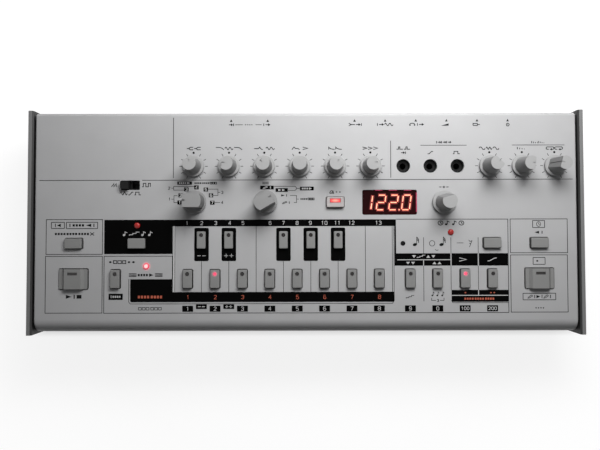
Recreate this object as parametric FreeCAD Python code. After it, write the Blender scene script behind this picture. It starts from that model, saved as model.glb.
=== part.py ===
import FreeCAD, Part
import math
import os

# A compact tabletop bass-line synthesizer, lying flat in its tilting dock.
# +X is to the player's right, +Y to the rear, +Z up. The origin is under the middle of the dock, on the desk.
# All sizes are in millimetres and all angles in degrees.

V = FreeCAD.Vector
X_AXIS, Y_AXIS, Z_AXIS = V(1, 0, 0), V(0, 1, 0), V(0, 0, 1)

# Housing
UNIT_LENGTH = 300.0
UNIT_DEPTH = 121.6
UNIT_HEIGHT = 32.0
COVER_SHEET = 2.0
FRONT_RADIUS = 7.0
REAR_RADIUS = 1.8
REAR_INNER_RADIUS = 0.5
CORNER_RADIUS = 1.0
COVER_SKIRT = 22.0
REAR_SKIRT = 7.0
CASE_WALL = 2.0
LIP_WALL = 1.2
LIP_OVERLAP = 3.0
SEAM_GAP = 0.2
REAR_SILL = 4.0

# Dock
FOOT_HEIGHT = 1.5
FOOT_RADIUS = 6.0
FOOT_INSET_X = 19.0
FOOT_INSET_Y = 9.0
DOCK_PLATE = 3.0
DOCK_MARGIN = 2.9
UNDER_GAP = 1.0
CHEEK_THICKNESS = 2.8
CHEEK_GAP = 1.2
CHEEK_CHAMFER = 0.8
CHEEK_FLANGE_WIDTH = 10.0
CHEEK_FLANGE_THICKNESS = 1.2
CHEEK_SCREW_SPACING = 42.0

# Tilting hinge and prop
HINGE_INSET = 6.0
HINGE_SIDE_INSET = 50.0
HINGE_LUG_WIDTH = 10.0
HINGE_LUG_RADIUS = 1.9
HINGE_PIN_RADIUS = 0.8
HINGE_PIN_LENGTH = 18.0
PLATE_FRONT_MARGIN = 2.5
PROP_REAR_INSET = 5.6
PROP_WIDTH = 90.0
PROP_THICKNESS = 2.4
PROP_PIN_RADIUS = 0.9
PROP_PIN_LENGTH = 3.0
PROP_CLEARANCE = 0.15
SWING_GAP = 0.6
RUNNING_GAP = 0.05

# Boards inside
BOARD = 1.6
PANEL_BOARD_DROP = 7.0
PANEL_BOARD_SIDE_INSET = 12.0
PANEL_BOARD_FRONT_INSET = 5.8
PANEL_BOARD_REAR_INSET = 16.8
STANDOFF_RADIUS = 2.2
STANDOFF_SIDE_INSET = 20.0
STANDOFF_FRONT_INSET = 10.8
STANDOFF_REAR_INSET = 19.8
MAIN_BOARD_LEFT_MARGIN = 25.2
MAIN_BOARD_RIGHT_MARGIN = 8.8
MAIN_BOARD_FRONT_MARGIN = 8.0
MAIN_BOARD_REAR_GAP = 1.0
MAIN_BOARD_GAP = 2.5
POST_RADIUS = 2.5
POST_INSET = 6.0
CHIPS = ((65.0, 12.0, 14.0, 14.0, 1.6), (95.0, 18.0, 10.0, 10.0, 1.4), (135.0, 12.0, 9.0, 12.0, 1.8))
HEADER_INSET_X, HEADER_INSET_Y = 30.0, 12.0
HEADER_LENGTH, HEADER_WIDTH = 20.0, 5.0
BOARD_SCREW_RADIUS = 1.0

# Case screws
CASE_SCREW_INSET = 6.2
CASE_SCREW_FRONT_INSET = 10.8
CASE_SCREW_MIDDLE_Y = 3.0
CASE_SCREW_REAR_INSET = 9.8
CASE_SCREW_RADIUS = 1.3
CASE_SCREW_LENGTH = 14.0
CASE_SCREW_HEAD_RADIUS = 2.5
CASE_SCREW_HEAD_HEIGHT = 1.8
CASE_BOSS_RADIUS = 3.8
CASE_BOSS_HEIGHT = 12.5
COVER_BOSS_RADIUS = 3.0
SCREW_GAP = 0.2

# Rows and columns of the panel, measured from its edges or from their neighbours
KEY_ROW_INSET = 29.6
KNOB_ROW_INSET = 29.8
MIDDLE_ROW_SHIFT = 0.6
SMALL_ROW_DROP = 1.8
LEFT_COLUMN_INSET = 22.0
RIGHT_COLUMN_INSET = 21.4
FUNCTION_KEY_INSET = 45.1
PITCH_MODE_INSET = 56.8
KEYS_LEFT_INSET = 84.9
KEYS_RIGHT_INSET = 47.35
STEP_GAP = 1.98
TONE_KNOBS_INSET = 87.9
TONE_TO_JACKS = 18.2
JACKS_TO_ECHO = 17.75
ECHO_KNOBS_INSET = 12.15
SELECTOR_SHIFT, SELECTOR_RISE = 0.7, 0.3
TEMPO_TO_DISPLAY = 10.15
DISPLAY_TO_VALUE = 14.85
SLOT_INSET = 52.9
SLOT_RISE = 9.7

# Round knobs
KNOB_HEIGHT = 13.5
KNOB_LIFT = 0.6
KNOB_FLANGE_RADIUS = 5.9
KNOB_FLANGE_THICKNESS = 1.2
KNOB_BASE_RADIUS = 4.5
KNOB_TOP_RADIUS = 3.6
KNOB_FACET_TOP = 2.15
KNOB_FACET_BASE = 4.1
KNOB_GROOVE_WIDTH = 0.5
KNOB_GROOVE_DEPTH = 0.35
KNOB_GROOVE_LENGTH = 1.5
VALUE_KNOB_SCALE = 1.1
TONE_KNOBS = {"tuning": 0, "cutoff": -78, "resonance": -40, "env_mod": 0, "decay": 40, "accent": 80}
ECHO_KNOB_PITCH = 18.0
ECHO_KNOBS = {"overdrive": 45, "delay_time": 95, "feedback": -75}
VALUE_KNOB_ANGLE = -16
SHAFT_RADIUS = 3.0
SHAFT_DEPTH = 5.0
SHAFT_HOLE_RADIUS = 3.6
POT_WIDTH = 9.8
POT_HEIGHT = 6.2
ENCODER_WIDTH = 12.0

# Selectors
GROUP_SELECTOR_ANGLE = -90
MODE_SELECTOR_ANGLE = 60
SELECTOR_FLANGE_RADIUS = 6.45
SELECTOR_BODY_RADIUS = 5.7
SELECTOR_BAR_WIDTH = 7.1
SELECTOR_NOSE = 4.4
ROTARY_WIDTH = 13.0

# Buttons
BUTTON_PROUD = 1.8
BUTTON_GAP = 0.45
BUTTON_TRAVEL = 0.8
BUTTON_CORNER = 0.6
BUTTON_EDGE = 0.4
BUTTON_RIM = 1.0
BUTTON_RIM_THICKNESS = 1.0
RIM_GAP = 0.15
STEM_WIDTH = 3.0
SWITCH_WIDTH = 4.0
SWITCH_HEIGHT = 3.0
PLUNGER_RADIUS = 1.0
PLUNGER_HEIGHT = 1.0
PLUNGER_GAP = 0.1
KEY_WIDTH, KEY_DEPTH, KEY_COUNT = 5.2, 10.1, 8
SHARP_WIDTH, SHARP_DEPTH = 4.8, 9.5
SHARP_GAPS = (0, 1, 3, 4, 5)
STEP_NAMES = ("down", "up", "accent", "slide")
SMALL_WIDTH, SMALL_DEPTH = 9.6, 5.6
LARGE_WIDTH, LARGE_DEPTH = 15.7, 11.0
LARGE_PAD_WIDTH = 9.0
LARGE_PAD_RISE = 0.4
LARGE_WING_DROP = 1.6
LARGE_BEVEL = 1.4
KEY_LAMP_OFFSET = 2.7
KEY_STEM_OFFSET = -2.5
SMALL_STEM_OFFSET = -2.0
LAMP_WINDOWS = {"tempo": (6.0, 2.3, 0.9), "run_stop": (5.3, 1.5, 2.9), "tap": (5.3, 1.5, 2.9)}
WINDOW_RECESS = 0.3
WINDOW_GAP = 0.15
LAMP_BAR_INSET = 0.5

# Lamps, display and slide switch
KEY_LAMP_RADIUS = 0.85
KEY_LAMP_HOLE_RADIUS = 1.1
KEY_LAMP_RECESS = 0.4
LAMP_BASE_RADIUS = 1.4
PANEL_LAMP_RADIUS = 1.5
PANEL_LAMP_PROUD = 0.8
PANEL_LAMP_GAP = 0.15
PITCH_LAMP_RISE = 9.8
FUNCTION_LAMP_SHIFT, FUNCTION_LAMP_RISE = 16.9, 7.0
TIME_LAMP_RISE = 5.9
LAMP_SHOULDER = 1.5
DISPLAY_LENGTH, DISPLAY_WIDTH, DISPLAY_CORNER = 30.3, 13.9, 1.0
DISPLAY_GLASS = 1.7
DISPLAY_GLASS_SINK = 0.3
DISPLAY_GAP = 0.1
SLOT_LENGTH, SLOT_WIDTH = 10.6, 5.3
THUMB_LENGTH, THUMB_WIDTH, THUMB_PROUD = 4.6, 4.3, 2.2
THUMB_END_GAP = 0.3
SLIDE_BODY_LENGTH, SLIDE_BODY_WIDTH, SLIDE_BODY_HEIGHT = 16.0, 7.0, 4.5

# Sockets
JACK_BORE_RADIUS = 1.8
JACK_BORE_LENGTH = 11.0
JACK_NOSE_RADIUS = 3.6
JACK_NOSE_LENGTH = 2.0
JACK_BODY = 8.0
JACK_BODY_LENGTH = 12.0
JACK_WINDOW_RADIUS = 3.8
PANEL_JACK_DROP = 0.6
PANEL_JACK_PITCH, PANEL_JACK_COUNT = 15.0, 3
REAR_JACK_COUNT = 3
REAR_JACK_RISE = 11.5
ROUND_SOCKET_PITCH = 20.3
ROUND_TO_JACKS = 48.2
ROUND_SOCKET_RISE = 14.5
ROUND_SOCKET_RADIUS = 7.6
ROUND_SOCKET_BODY = 17.0
ROUND_SOCKET_DEPTH = 12.0
ROUND_GROOVE_OUTER, ROUND_GROOVE_INNER, ROUND_GROOVE_DEPTH = 6.8, 5.9, 8.0
ROUND_PIN_CIRCLE, ROUND_PIN_HOLE, ROUND_PIN_STEP, ROUND_PIN_COUNT = 3.8, 0.7, 45.0, 5
ROUND_PIN_DEPTH = 1.0
USB_WIDTH, USB_HEIGHT, USB_DEPTH = 7.6, 2.7, 5.5
USB_SHELL, USB_TONGUE_WIDTH, USB_TONGUE_THICKNESS = 0.3, 4.4, 0.6
WALL_HOLE_GAP = 0.3

# Rear volume knob and power switch, in one evenly spaced row with the sockets
POWER_INSET = 37.8
REAR_PITCH = 17.0
REAR_CONTROL_RISE = 11.5
VOLUME_RADIUS, VOLUME_LENGTH = 4.6, 3.0
VOLUME_FLUTES, FLUTE_RADIUS = 16, 0.45
REAR_POT_WIDTH, REAR_POT_DEPTH = 10.0, 6.0
POWER_SLOT_LENGTH, POWER_SLOT_HEIGHT = 9.0, 3.4
POWER_THUMB_LENGTH, POWER_THUMB_HEIGHT, POWER_THUMB_PROUD = 4.0, 2.8, 2.0
POWER_END_GAP = 0.4

# Batteries and speaker
CELL_RADIUS, CELL_LENGTH, CELL_NUB_LENGTH, CELL_NUB_RADIUS = 7.1, 49.2, 1.2, 2.7
CELL_GAP = 0.5
CELL_ROWS = 2
CELLS_IN_ROW = 2
BAY_SIDE_INSET, BAY_FRONT_INSET = 35.6, 16.85
BAY_WALL = 1.5
CONTACT_THICKNESS, CONTACT_SIZE = 0.5, 9.0
CONTACT_SPRING = 1.5
BATTERY_COVER_GAP = 0.25
BATTERY_PIN_RADIUS = 0.5
BATTERY_PIN_LENGTH = 1.5
FINGER_GROOVE_LENGTH, FINGER_GROOVE_WIDTH, FINGER_GROOVE_DEPTH = 16.0, 3.0, 0.8
FINGER_GROOVE_INSET = 1.5
SPEAKER_SIDE_INSET, SPEAKER_FRONT_INSET = 55.0, 34.8
SPEAKER_RADIUS, SPEAKER_HEIGHT = 18.0, 9.0
SPEAKER_MAGNET_RADIUS = 9.0
SPEAKER_RIM = 2.0
GRILLE_SLOTS, GRILLE_PITCH, GRILLE_SLOT_WIDTH, GRILLE_SLOT_LENGTH = 6, 5.0, 2.2, 28.0

# Heights worked out from the sizes above
PLATE_TOP = FOOT_HEIGHT + DOCK_PLATE
CASE_BOTTOM = PLATE_TOP + UNDER_GAP
CASE_FLOOR = CASE_BOTTOM + CASE_WALL
PANEL_TOP = CASE_BOTTOM + UNIT_HEIGHT
COVER_UNDER = PANEL_TOP - COVER_SHEET
COVER_RIM = PANEL_TOP - COVER_SKIRT
REAR_RIM = PANEL_TOP - REAR_SKIRT
CASE_RIM = COVER_RIM - SEAM_GAP
SILL_TOP = CASE_BOTTOM + REAR_SILL
BOARD_TOP = COVER_UNDER - PANEL_BOARD_DROP
BOARD_UNDER = BOARD_TOP - BOARD
MAIN_BOARD_UNDER = CASE_FLOOR + MAIN_BOARD_GAP
MAIN_BOARD_TOP = MAIN_BOARD_UNDER + BOARD
BUTTON_TOP = PANEL_TOP + BUTTON_PROUD
RIM_TOP = COVER_UNDER - RIM_GAP
RIM_UNDER = RIM_TOP - BUTTON_RIM_THICKNESS
PLUNGER_TOP = BOARD_TOP + SWITCH_HEIGHT + PLUNGER_HEIGHT
STEM_UNDER = PLUNGER_TOP + BUTTON_TRAVEL + PLUNGER_GAP
KNOB_UNDER = PANEL_TOP + KNOB_LIFT
POT_TOP = BOARD_TOP + POT_HEIGHT
SHAFT_END = POT_TOP - SHAFT_DEPTH
REAR_JACK_HEIGHT = CASE_BOTTOM + REAR_JACK_RISE
ROUND_SOCKET_HEIGHT = CASE_BOTTOM + ROUND_SOCKET_RISE
REAR_CONTROL_HEIGHT = CASE_BOTTOM + REAR_CONTROL_RISE

# Places of the housing, the hinge and the prop
HALF_LENGTH = UNIT_LENGTH / 2
HALF_DEPTH = UNIT_DEPTH / 2
DOCK_DEPTH = UNIT_DEPTH + DOCK_MARGIN
CHEEK_INNER = HALF_LENGTH + CHEEK_GAP
REAR_INSIDE = HALF_DEPTH - CASE_WALL
HINGE_X = HALF_LENGTH - HINGE_SIDE_INSET
HINGE_Y = HINGE_INSET - HALF_DEPTH
HINGE_Z = FOOT_HEIGHT + DOCK_PLATE / 2
PROP_TIP_Y = HALF_DEPTH - PROP_REAR_INSET
PROP_PIVOT_Y = (HINGE_Y + PROP_TIP_Y) / 2
PROP_TIP_RADIUS = CASE_BOTTOM - HINGE_Z - PROP_CLEARANCE
PLATE_FRONT = HINGE_Y - PLATE_FRONT_MARGIN
CASE_SCREW_X = HALF_LENGTH - CASE_SCREW_INSET
CASE_SCREW_ROWS = (CASE_SCREW_FRONT_INSET - HALF_DEPTH, CASE_SCREW_MIDDLE_Y,
                   HALF_DEPTH - CASE_SCREW_REAR_INSET)

# Rows and columns of the panel
ROW_PITCH = (UNIT_DEPTH - KEY_ROW_INSET - KNOB_ROW_INSET) / 3
KNOB_ROW_Y = HALF_DEPTH - KNOB_ROW_INSET
LOWER_ROW_Y = KNOB_ROW_Y - ROW_PITCH + MIDDLE_ROW_SHIFT
KEY_Y = KEY_ROW_INSET - HALF_DEPTH
SHARP_Y = KEY_Y + ROW_PITCH + MIDDLE_ROW_SHIFT
SMALL_ROW_Y = SHARP_Y - SMALL_ROW_DROP
LEFT_COLUMN_X = LEFT_COLUMN_INSET - HALF_LENGTH
RIGHT_COLUMN_X = HALF_LENGTH - RIGHT_COLUMN_INSET
FUNCTION_KEY_X = FUNCTION_KEY_INSET - HALF_LENGTH
PITCH_MODE_X = PITCH_MODE_INSET - HALF_LENGTH
KEY_FIRST_X = KEYS_LEFT_INSET - HALF_LENGTH
STEP_LAST_X = HALF_LENGTH - KEYS_RIGHT_INSET
KEY_PITCH = (STEP_LAST_X - KEY_FIRST_X - STEP_GAP) / (KEY_COUNT + len(STEP_NAMES) - 1)
STEP_FIRST_X = KEY_FIRST_X + KEY_COUNT * KEY_PITCH + STEP_GAP
ECHO_KNOB_FIRST_X = HALF_LENGTH - ECHO_KNOBS_INSET - (len(ECHO_KNOBS) - 1) * ECHO_KNOB_PITCH
PANEL_JACK_FIRST_X = ECHO_KNOB_FIRST_X - JACKS_TO_ECHO - (PANEL_JACK_COUNT - 1) * PANEL_JACK_PITCH
TONE_KNOB_FIRST_X = TONE_KNOBS_INSET - HALF_LENGTH
TONE_KNOB_PITCH = (PANEL_JACK_FIRST_X - TONE_TO_JACKS - TONE_KNOB_FIRST_X) / (len(TONE_KNOBS) - 1)
GROUP_SELECTOR_X = TONE_KNOB_FIRST_X + SELECTOR_SHIFT
MODE_SELECTOR_X = GROUP_SELECTOR_X + 2 * TONE_KNOB_PITCH
SELECTOR_Y = LOWER_ROW_Y + SELECTOR_RISE
TEMPO_X = TONE_KNOB_FIRST_X + 4 * TONE_KNOB_PITCH
DISPLAY_X = TEMPO_X + (SMALL_WIDTH + DISPLAY_LENGTH) / 2 + TEMPO_TO_DISPLAY
VALUE_KNOB_X = DISPLAY_X + DISPLAY_LENGTH / 2 + DISPLAY_TO_VALUE
SLOT_X = SLOT_INSET - HALF_LENGTH
SLOT_Y = LOWER_ROW_Y + SLOT_RISE
SELECTORS = {"group": (GROUP_SELECTOR_X, GROUP_SELECTOR_ANGLE),
             "mode": (MODE_SELECTOR_X, MODE_SELECTOR_ANGLE)}
SMALL_BUTTONS = {"pattern_clear": LEFT_COLUMN_X, "pitch_mode": PITCH_MODE_X, "time_mode": STEP_LAST_X,
                 "back": RIGHT_COLUMN_X}
LARGE_BUTTONS = {"run_stop": LEFT_COLUMN_X, "tap": RIGHT_COLUMN_X}
PANEL_LAMPS = ((PITCH_MODE_X, SMALL_ROW_Y + PITCH_LAMP_RISE),
               (FUNCTION_KEY_X + FUNCTION_LAMP_SHIFT, KEY_Y + FUNCTION_LAMP_RISE),
               ((STEP_FIRST_X + STEP_LAST_X) / 2, SMALL_ROW_Y + TIME_LAMP_RISE))

# Places at the rear and inside
POWER_X = HALF_LENGTH - POWER_INSET
USB_X = POWER_X - REAR_PITCH
VOLUME_X = USB_X - REAR_PITCH
REAR_JACK_FIRST_X = VOLUME_X - REAR_JACK_COUNT * REAR_PITCH
ROUND_SOCKETS_X = (REAR_JACK_FIRST_X - ROUND_TO_JACKS - ROUND_SOCKET_PITCH,
                   REAR_JACK_FIRST_X - ROUND_TO_JACKS)
BAY_LENGTH = CELLS_IN_ROW * (CELL_LENGTH + CELL_NUB_LENGTH) + 2 * (CONTACT_THICKNESS + CONTACT_SPRING)
BAY_WIDTH = CELL_ROWS * 2 * CELL_RADIUS + (CELL_ROWS + 1) * CELL_GAP
BAY_X = BAY_SIDE_INSET - HALF_LENGTH + BAY_LENGTH / 2
BAY_Y = BAY_FRONT_INSET - HALF_DEPTH + BAY_WIDTH / 2
CELL_Z = CASE_FLOOR + CELL_GAP + CELL_RADIUS
BAY_ROOF = CELL_Z + CELL_RADIUS + CELL_GAP
SPEAKER_X = HALF_LENGTH - SPEAKER_SIDE_INSET
SPEAKER_Y = SPEAKER_FRONT_INSET - HALF_DEPTH
PANEL_BOARD_FRONT = PANEL_BOARD_FRONT_INSET - HALF_DEPTH
PANEL_BOARD_REAR = HALF_DEPTH - PANEL_BOARD_REAR_INSET
MAIN_BOARD_LEFT = ROUND_SOCKETS_X[0] - ROUND_SOCKET_BODY / 2 - MAIN_BOARD_LEFT_MARGIN
MAIN_BOARD_RIGHT = POWER_X + POWER_SLOT_LENGTH + MAIN_BOARD_RIGHT_MARGIN
MAIN_BOARD_FRONT = SPEAKER_Y + SPEAKER_RADIUS + MAIN_BOARD_FRONT_MARGIN
MAIN_BOARD_REAR = REAR_INSIDE - MAIN_BOARD_REAR_GAP

parts = {}


def box(x0, x1, y0, y1, z0, z1):
    """Box between two corners."""
    return Part.makeBox(x1 - x0, y1 - y0, z1 - z0, V(x0, y0, z0))


def block(x, y, width, depth, z0, z1):
    """Box centred on x, y."""
    return box(x - width / 2, x + width / 2, y - depth / 2, y + depth / 2, z0, z1)


def rod(x, y, radius, z0, z1):
    """Upright cylinder."""
    return Part.makeCylinder(radius, z1 - z0, V(x, y, z0), Z_AXIS)


def rod_x(x0, x1, y, z, radius):
    """Cylinder along X."""
    return Part.makeCylinder(radius, x1 - x0, V(x0, y, z), X_AXIS)


def rod_y(x, y0, y1, z, radius):
    """Cylinder along Y."""
    return Part.makeCylinder(radius, y1 - y0, V(x, y0, z), Y_AXIS)


def join(shapes):
    """One solid from shapes that overlap or touch."""
    return shapes[0].fuse(shapes[1:]).removeSplitter()


def prism(points, direction):
    """Polygon drawn through the points and pushed along a direction."""
    wire = Part.makePolygon([V(*p) for p in points + points[:1]])
    return Part.Face(wire).extrude(direction)


def rounded_prism(x, y, width, depth, corner, z0, z1):
    """Upright block with rounded corners."""
    radius = min(corner, width / 2.1, depth / 2.1)
    solid = block(x, y, width, depth, z0, z1)
    upright = [e for e in solid.Edges if abs(e.Vertexes[0].Z - e.Vertexes[1].Z) > (z1 - z0) / 2]
    return solid.makeFillet(radius, upright)


def top_edges(solid, z):
    """Edges that lie at height z."""
    return [e for e in solid.Edges if abs(e.BoundBox.ZMin - z) < 1e-6 and abs(e.BoundBox.ZMax - z) < 1e-6]


def arc(start, middle, end):
    """Arc edge through three points."""
    return Part.Arc(start, middle, end).toShape()


def line(start, end):
    """Straight edge."""
    return Part.LineSegment(start, end).toShape()


def hood(length, front, rear, z0, z1, front_radius, rear_radius):
    """Block with its front and rear top edges rounded."""
    bevel = 1 - math.sqrt(0.5)
    x = -length / 2
    front_foot = V(x, front, z1 - front_radius)
    front_mid = V(x, front + bevel * front_radius, z1 - bevel * front_radius)
    front_top = V(x, front + front_radius, z1)
    rear_top = V(x, rear - rear_radius, z1)
    rear_mid = V(x, rear - bevel * rear_radius, z1 - bevel * rear_radius)
    rear_foot = V(x, rear, z1 - rear_radius)
    low_front, low_rear = V(x, front, z0), V(x, rear, z0)
    outline = Part.Wire([line(low_front, front_foot), arc(front_foot, front_mid, front_top),
                         line(front_top, rear_top), arc(rear_top, rear_mid, rear_foot),
                         line(rear_foot, low_rear), line(low_rear, low_front)])
    return Part.Face(outline).extrude(V(length, 0, 0))


def tone_knob_places():
    """Name, x, y and pointer angle of each round knob with a pointer."""
    rows = []
    for index, (name, angle) in enumerate(TONE_KNOBS.items()):
        rows.append((name, TONE_KNOB_FIRST_X + index * TONE_KNOB_PITCH, KNOB_ROW_Y, angle))
    for index, (name, angle) in enumerate(ECHO_KNOBS.items()):
        rows.append((name, ECHO_KNOB_FIRST_X + index * ECHO_KNOB_PITCH, KNOB_ROW_Y, angle))
    return rows


def button_places():
    """Name, kind, x, y, width and depth of every button."""
    rows = [("function_key", "key", FUNCTION_KEY_X, KEY_Y, KEY_WIDTH, KEY_DEPTH)]
    for index in range(KEY_COUNT):
        x = KEY_FIRST_X + index * KEY_PITCH
        rows.append((f"natural_key_{index + 1}", "key", x, KEY_Y, KEY_WIDTH, KEY_DEPTH))
    for index, gap in enumerate(SHARP_GAPS):
        x = KEY_FIRST_X + (gap + 0.5) * KEY_PITCH
        rows.append((f"sharp_key_{index + 1}", "key", x, SHARP_Y, SHARP_WIDTH, SHARP_DEPTH))
    for index, name in enumerate(STEP_NAMES):
        x = STEP_FIRST_X + index * KEY_PITCH
        rows.append((f"{name}_key", "key", x, KEY_Y, KEY_WIDTH, KEY_DEPTH))
    for name, x in SMALL_BUTTONS.items():
        rows.append((f"{name}_button", "small", x, SMALL_ROW_Y, SMALL_WIDTH, SMALL_DEPTH))
    rows.append(("tempo_button", "small", TEMPO_X, LOWER_ROW_Y, SMALL_WIDTH, SMALL_DEPTH))
    for name, x in LARGE_BUTTONS.items():
        rows.append((f"{name}_button", "large", x, KEY_Y, LARGE_WIDTH, LARGE_DEPTH))
    return rows


def button_top(kind):
    """Height of a button's highest face."""
    return BUTTON_TOP + (LARGE_PAD_RISE if kind == "large" else 0)


def lamp_window(name):
    """Width, depth and offset of a button's lit window, or nothing."""
    return LAMP_WINDOWS.get(name.replace("_button", ""))


def stem_offset(kind):
    """How far in front of a button's middle its switch sits."""
    return SMALL_STEM_OFFSET if kind == "small" else KEY_STEM_OFFSET


def panel_jack_xs():
    """Places of the sockets in the panel."""
    return [PANEL_JACK_FIRST_X + index * PANEL_JACK_PITCH for index in range(PANEL_JACK_COUNT)]


def rear_jack_xs():
    """Places of the round audio sockets at the rear."""
    return [REAR_JACK_FIRST_X + index * REAR_PITCH for index in range(REAR_JACK_COUNT)]


def standoff_places():
    """Places of the standoffs that carry the panel board."""
    reach = HALF_LENGTH - STANDOFF_SIDE_INSET
    rows = (STANDOFF_FRONT_INSET - HALF_DEPTH, HALF_DEPTH - STANDOFF_REAR_INSET)
    return [(x, y) for x in (-reach, 0, reach) for y in rows]


def case_screw_places():
    """Places of the screws that hold the cover on the case."""
    return [(side * CASE_SCREW_X, y) for side in (-1, 1) for y in CASE_SCREW_ROWS]


def main_post_places():
    """Places of the posts under the main board."""
    xs = (MAIN_BOARD_LEFT + POST_INSET, MAIN_BOARD_RIGHT - POST_INSET)
    ys = (MAIN_BOARD_FRONT + POST_INSET, MAIN_BOARD_REAR - POST_INSET)
    return [(x, y) for x in xs for y in ys]


def grille_slots(z0, z1):
    """Slots under the speaker."""
    first = SPEAKER_X - (GRILLE_SLOTS - 1) * GRILLE_PITCH / 2
    return [block(first + index * GRILLE_PITCH, SPEAKER_Y, GRILLE_SLOT_WIDTH, GRILLE_SLOT_LENGTH, z0, z1)
            for index in range(GRILLE_SLOTS)]


def make_top_cover():
    """Folded sheet with the holes for every control, screw bosses and board standoffs."""
    outer = hood(UNIT_LENGTH, -HALF_DEPTH, HALF_DEPTH, COVER_RIM, PANEL_TOP, FRONT_RADIUS, REAR_RADIUS)
    ends = [e for e in outer.Edges if e.BoundBox.XLength < 1e-6 and e.BoundBox.ZMax > COVER_RIM + 1e-6]
    outer = outer.makeFillet(CORNER_RADIUS, ends)
    inner = hood(UNIT_LENGTH - 2 * COVER_SHEET, COVER_SHEET - HALF_DEPTH, HALF_DEPTH - COVER_SHEET,
                 COVER_RIM, COVER_UNDER, FRONT_RADIUS - COVER_SHEET, REAR_INNER_RADIUS)
    rear_cut = box(COVER_SHEET - HALF_LENGTH, HALF_LENGTH - COVER_SHEET,
                   HALF_DEPTH - CASE_WALL, HALF_DEPTH + CASE_WALL, COVER_RIM, REAR_RIM)
    cover = outer.cut([inner, rear_cut])
    inside_top = COVER_UNDER + COVER_SHEET / 2
    boss_under = CASE_BOTTOM + CASE_BOSS_HEIGHT + CASE_WALL + SCREW_GAP
    solids = [cover]
    solids += [rod(x, y, COVER_BOSS_RADIUS, boss_under, inside_top) for x, y in case_screw_places()]
    solids += [rod(x, y, STANDOFF_RADIUS, BOARD_TOP, inside_top) for x, y in standoff_places()]
    cover = join(solids)
    shank_top = boss_under + CASE_SCREW_LENGTH
    holes = [rod(x, y, CASE_SCREW_RADIUS + RUNNING_GAP, boss_under - 1, shank_top - 3)
             for x, y in case_screw_places()]
    holes += [rod(x, y, BOARD_SCREW_RADIUS + RUNNING_GAP, BOARD_TOP - 1, BOARD_TOP + 5)
              for x, y in standoff_places()]
    return cover.cut(holes + panel_openings())


def panel_openings():
    """Tools that cut the panel for its controls."""
    low, high = COVER_UNDER - 1, PANEL_TOP + 1
    tools = [rod(x, y, SHAFT_HOLE_RADIUS, low, high) for _, x, y, _ in tone_knob_places()]
    tools.append(rod(VALUE_KNOB_X, LOWER_ROW_Y, SHAFT_HOLE_RADIUS, low, high))
    tools += [rod(x, SELECTOR_Y, SHAFT_HOLE_RADIUS, low, high) for x, _ in SELECTORS.values()]
    tools += [rod(x, KNOB_ROW_Y, JACK_WINDOW_RADIUS, low, high) for x in panel_jack_xs()]
    tools += [rod(x, y, PANEL_LAMP_RADIUS + PANEL_LAMP_GAP, low, high) for x, y in PANEL_LAMPS]
    for _, _, x, y, width, depth in button_places():
        tools.append(rounded_prism(x, y, width + 2 * BUTTON_GAP, depth + 2 * BUTTON_GAP,
                                   BUTTON_CORNER + BUTTON_GAP, low, high))
    tools.append(rounded_prism(DISPLAY_X, LOWER_ROW_Y, DISPLAY_LENGTH, DISPLAY_WIDTH, DISPLAY_CORNER,
                               low, high))
    tools.append(rounded_prism(SLOT_X, SLOT_Y, SLOT_LENGTH, SLOT_WIDTH, BUTTON_CORNER, low, high))
    return tools


def make_bottom_case():
    """Moulded tray with a low rear sill, lip, bosses, posts, battery box, grille and hinge lugs."""
    tray = block(0, 0, UNIT_LENGTH, UNIT_DEPTH, CASE_BOTTOM, CASE_RIM)
    rounded = [e for e in tray.Edges if e.BoundBox.ZMin < CASE_RIM - 1e-6]
    tray = tray.makeFillet(CORNER_RADIUS, rounded)
    hollow = box(CASE_WALL - HALF_LENGTH, HALF_LENGTH - CASE_WALL, CASE_WALL - HALF_DEPTH,
                 REAR_INSIDE, CASE_FLOOR, CASE_RIM)
    rear_gate = box(-rear_panel_reach() - SEAM_GAP, rear_panel_reach() + SEAM_GAP, REAR_INSIDE - SEAM_GAP,
                    HALF_DEPTH + 1, SILL_TOP, CASE_RIM + 1)
    tray = tray.cut([hollow, rear_gate])
    lip_outer = HALF_LENGTH - COVER_SHEET - SEAM_GAP
    lip_front = COVER_SHEET + SEAM_GAP - HALF_DEPTH
    lip_low, lip_high = COVER_RIM - CASE_WALL, COVER_RIM + LIP_OVERLAP
    lip = box(-lip_outer, lip_outer, lip_front, REAR_INSIDE, lip_low, lip_high)
    lip_foot = box(CASE_WALL / 2 - HALF_LENGTH, HALF_LENGTH - CASE_WALL / 2, CASE_WALL / 2 - HALF_DEPTH,
                   REAR_INSIDE, lip_low, CASE_RIM)
    lip = lip.fuse(lip_foot).cut(box(LIP_WALL - lip_outer, lip_outer - LIP_WALL, lip_front + LIP_WALL,
                                     HALF_DEPTH, lip_low, lip_high))
    solids = [tray, lip, battery_box()]
    solids += [rod(x, y, CASE_BOSS_RADIUS, CASE_BOTTOM + CASE_WALL / 2,
                   CASE_BOTTOM + CASE_BOSS_HEIGHT + CASE_WALL) for x, y in case_screw_places()]
    solids += [rod(x, y, POST_RADIUS, CASE_FLOOR - CASE_WALL / 2, MAIN_BOARD_UNDER)
               for x, y in main_post_places()]
    solids += [hinge_lug(side * HINGE_X) for side in (-1, 1)]
    case = join(solids)
    return case.cut(case_openings())


def rear_panel_reach():
    """Half the length of the rear panel."""
    return HALF_LENGTH - CASE_WALL - SEAM_GAP


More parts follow.
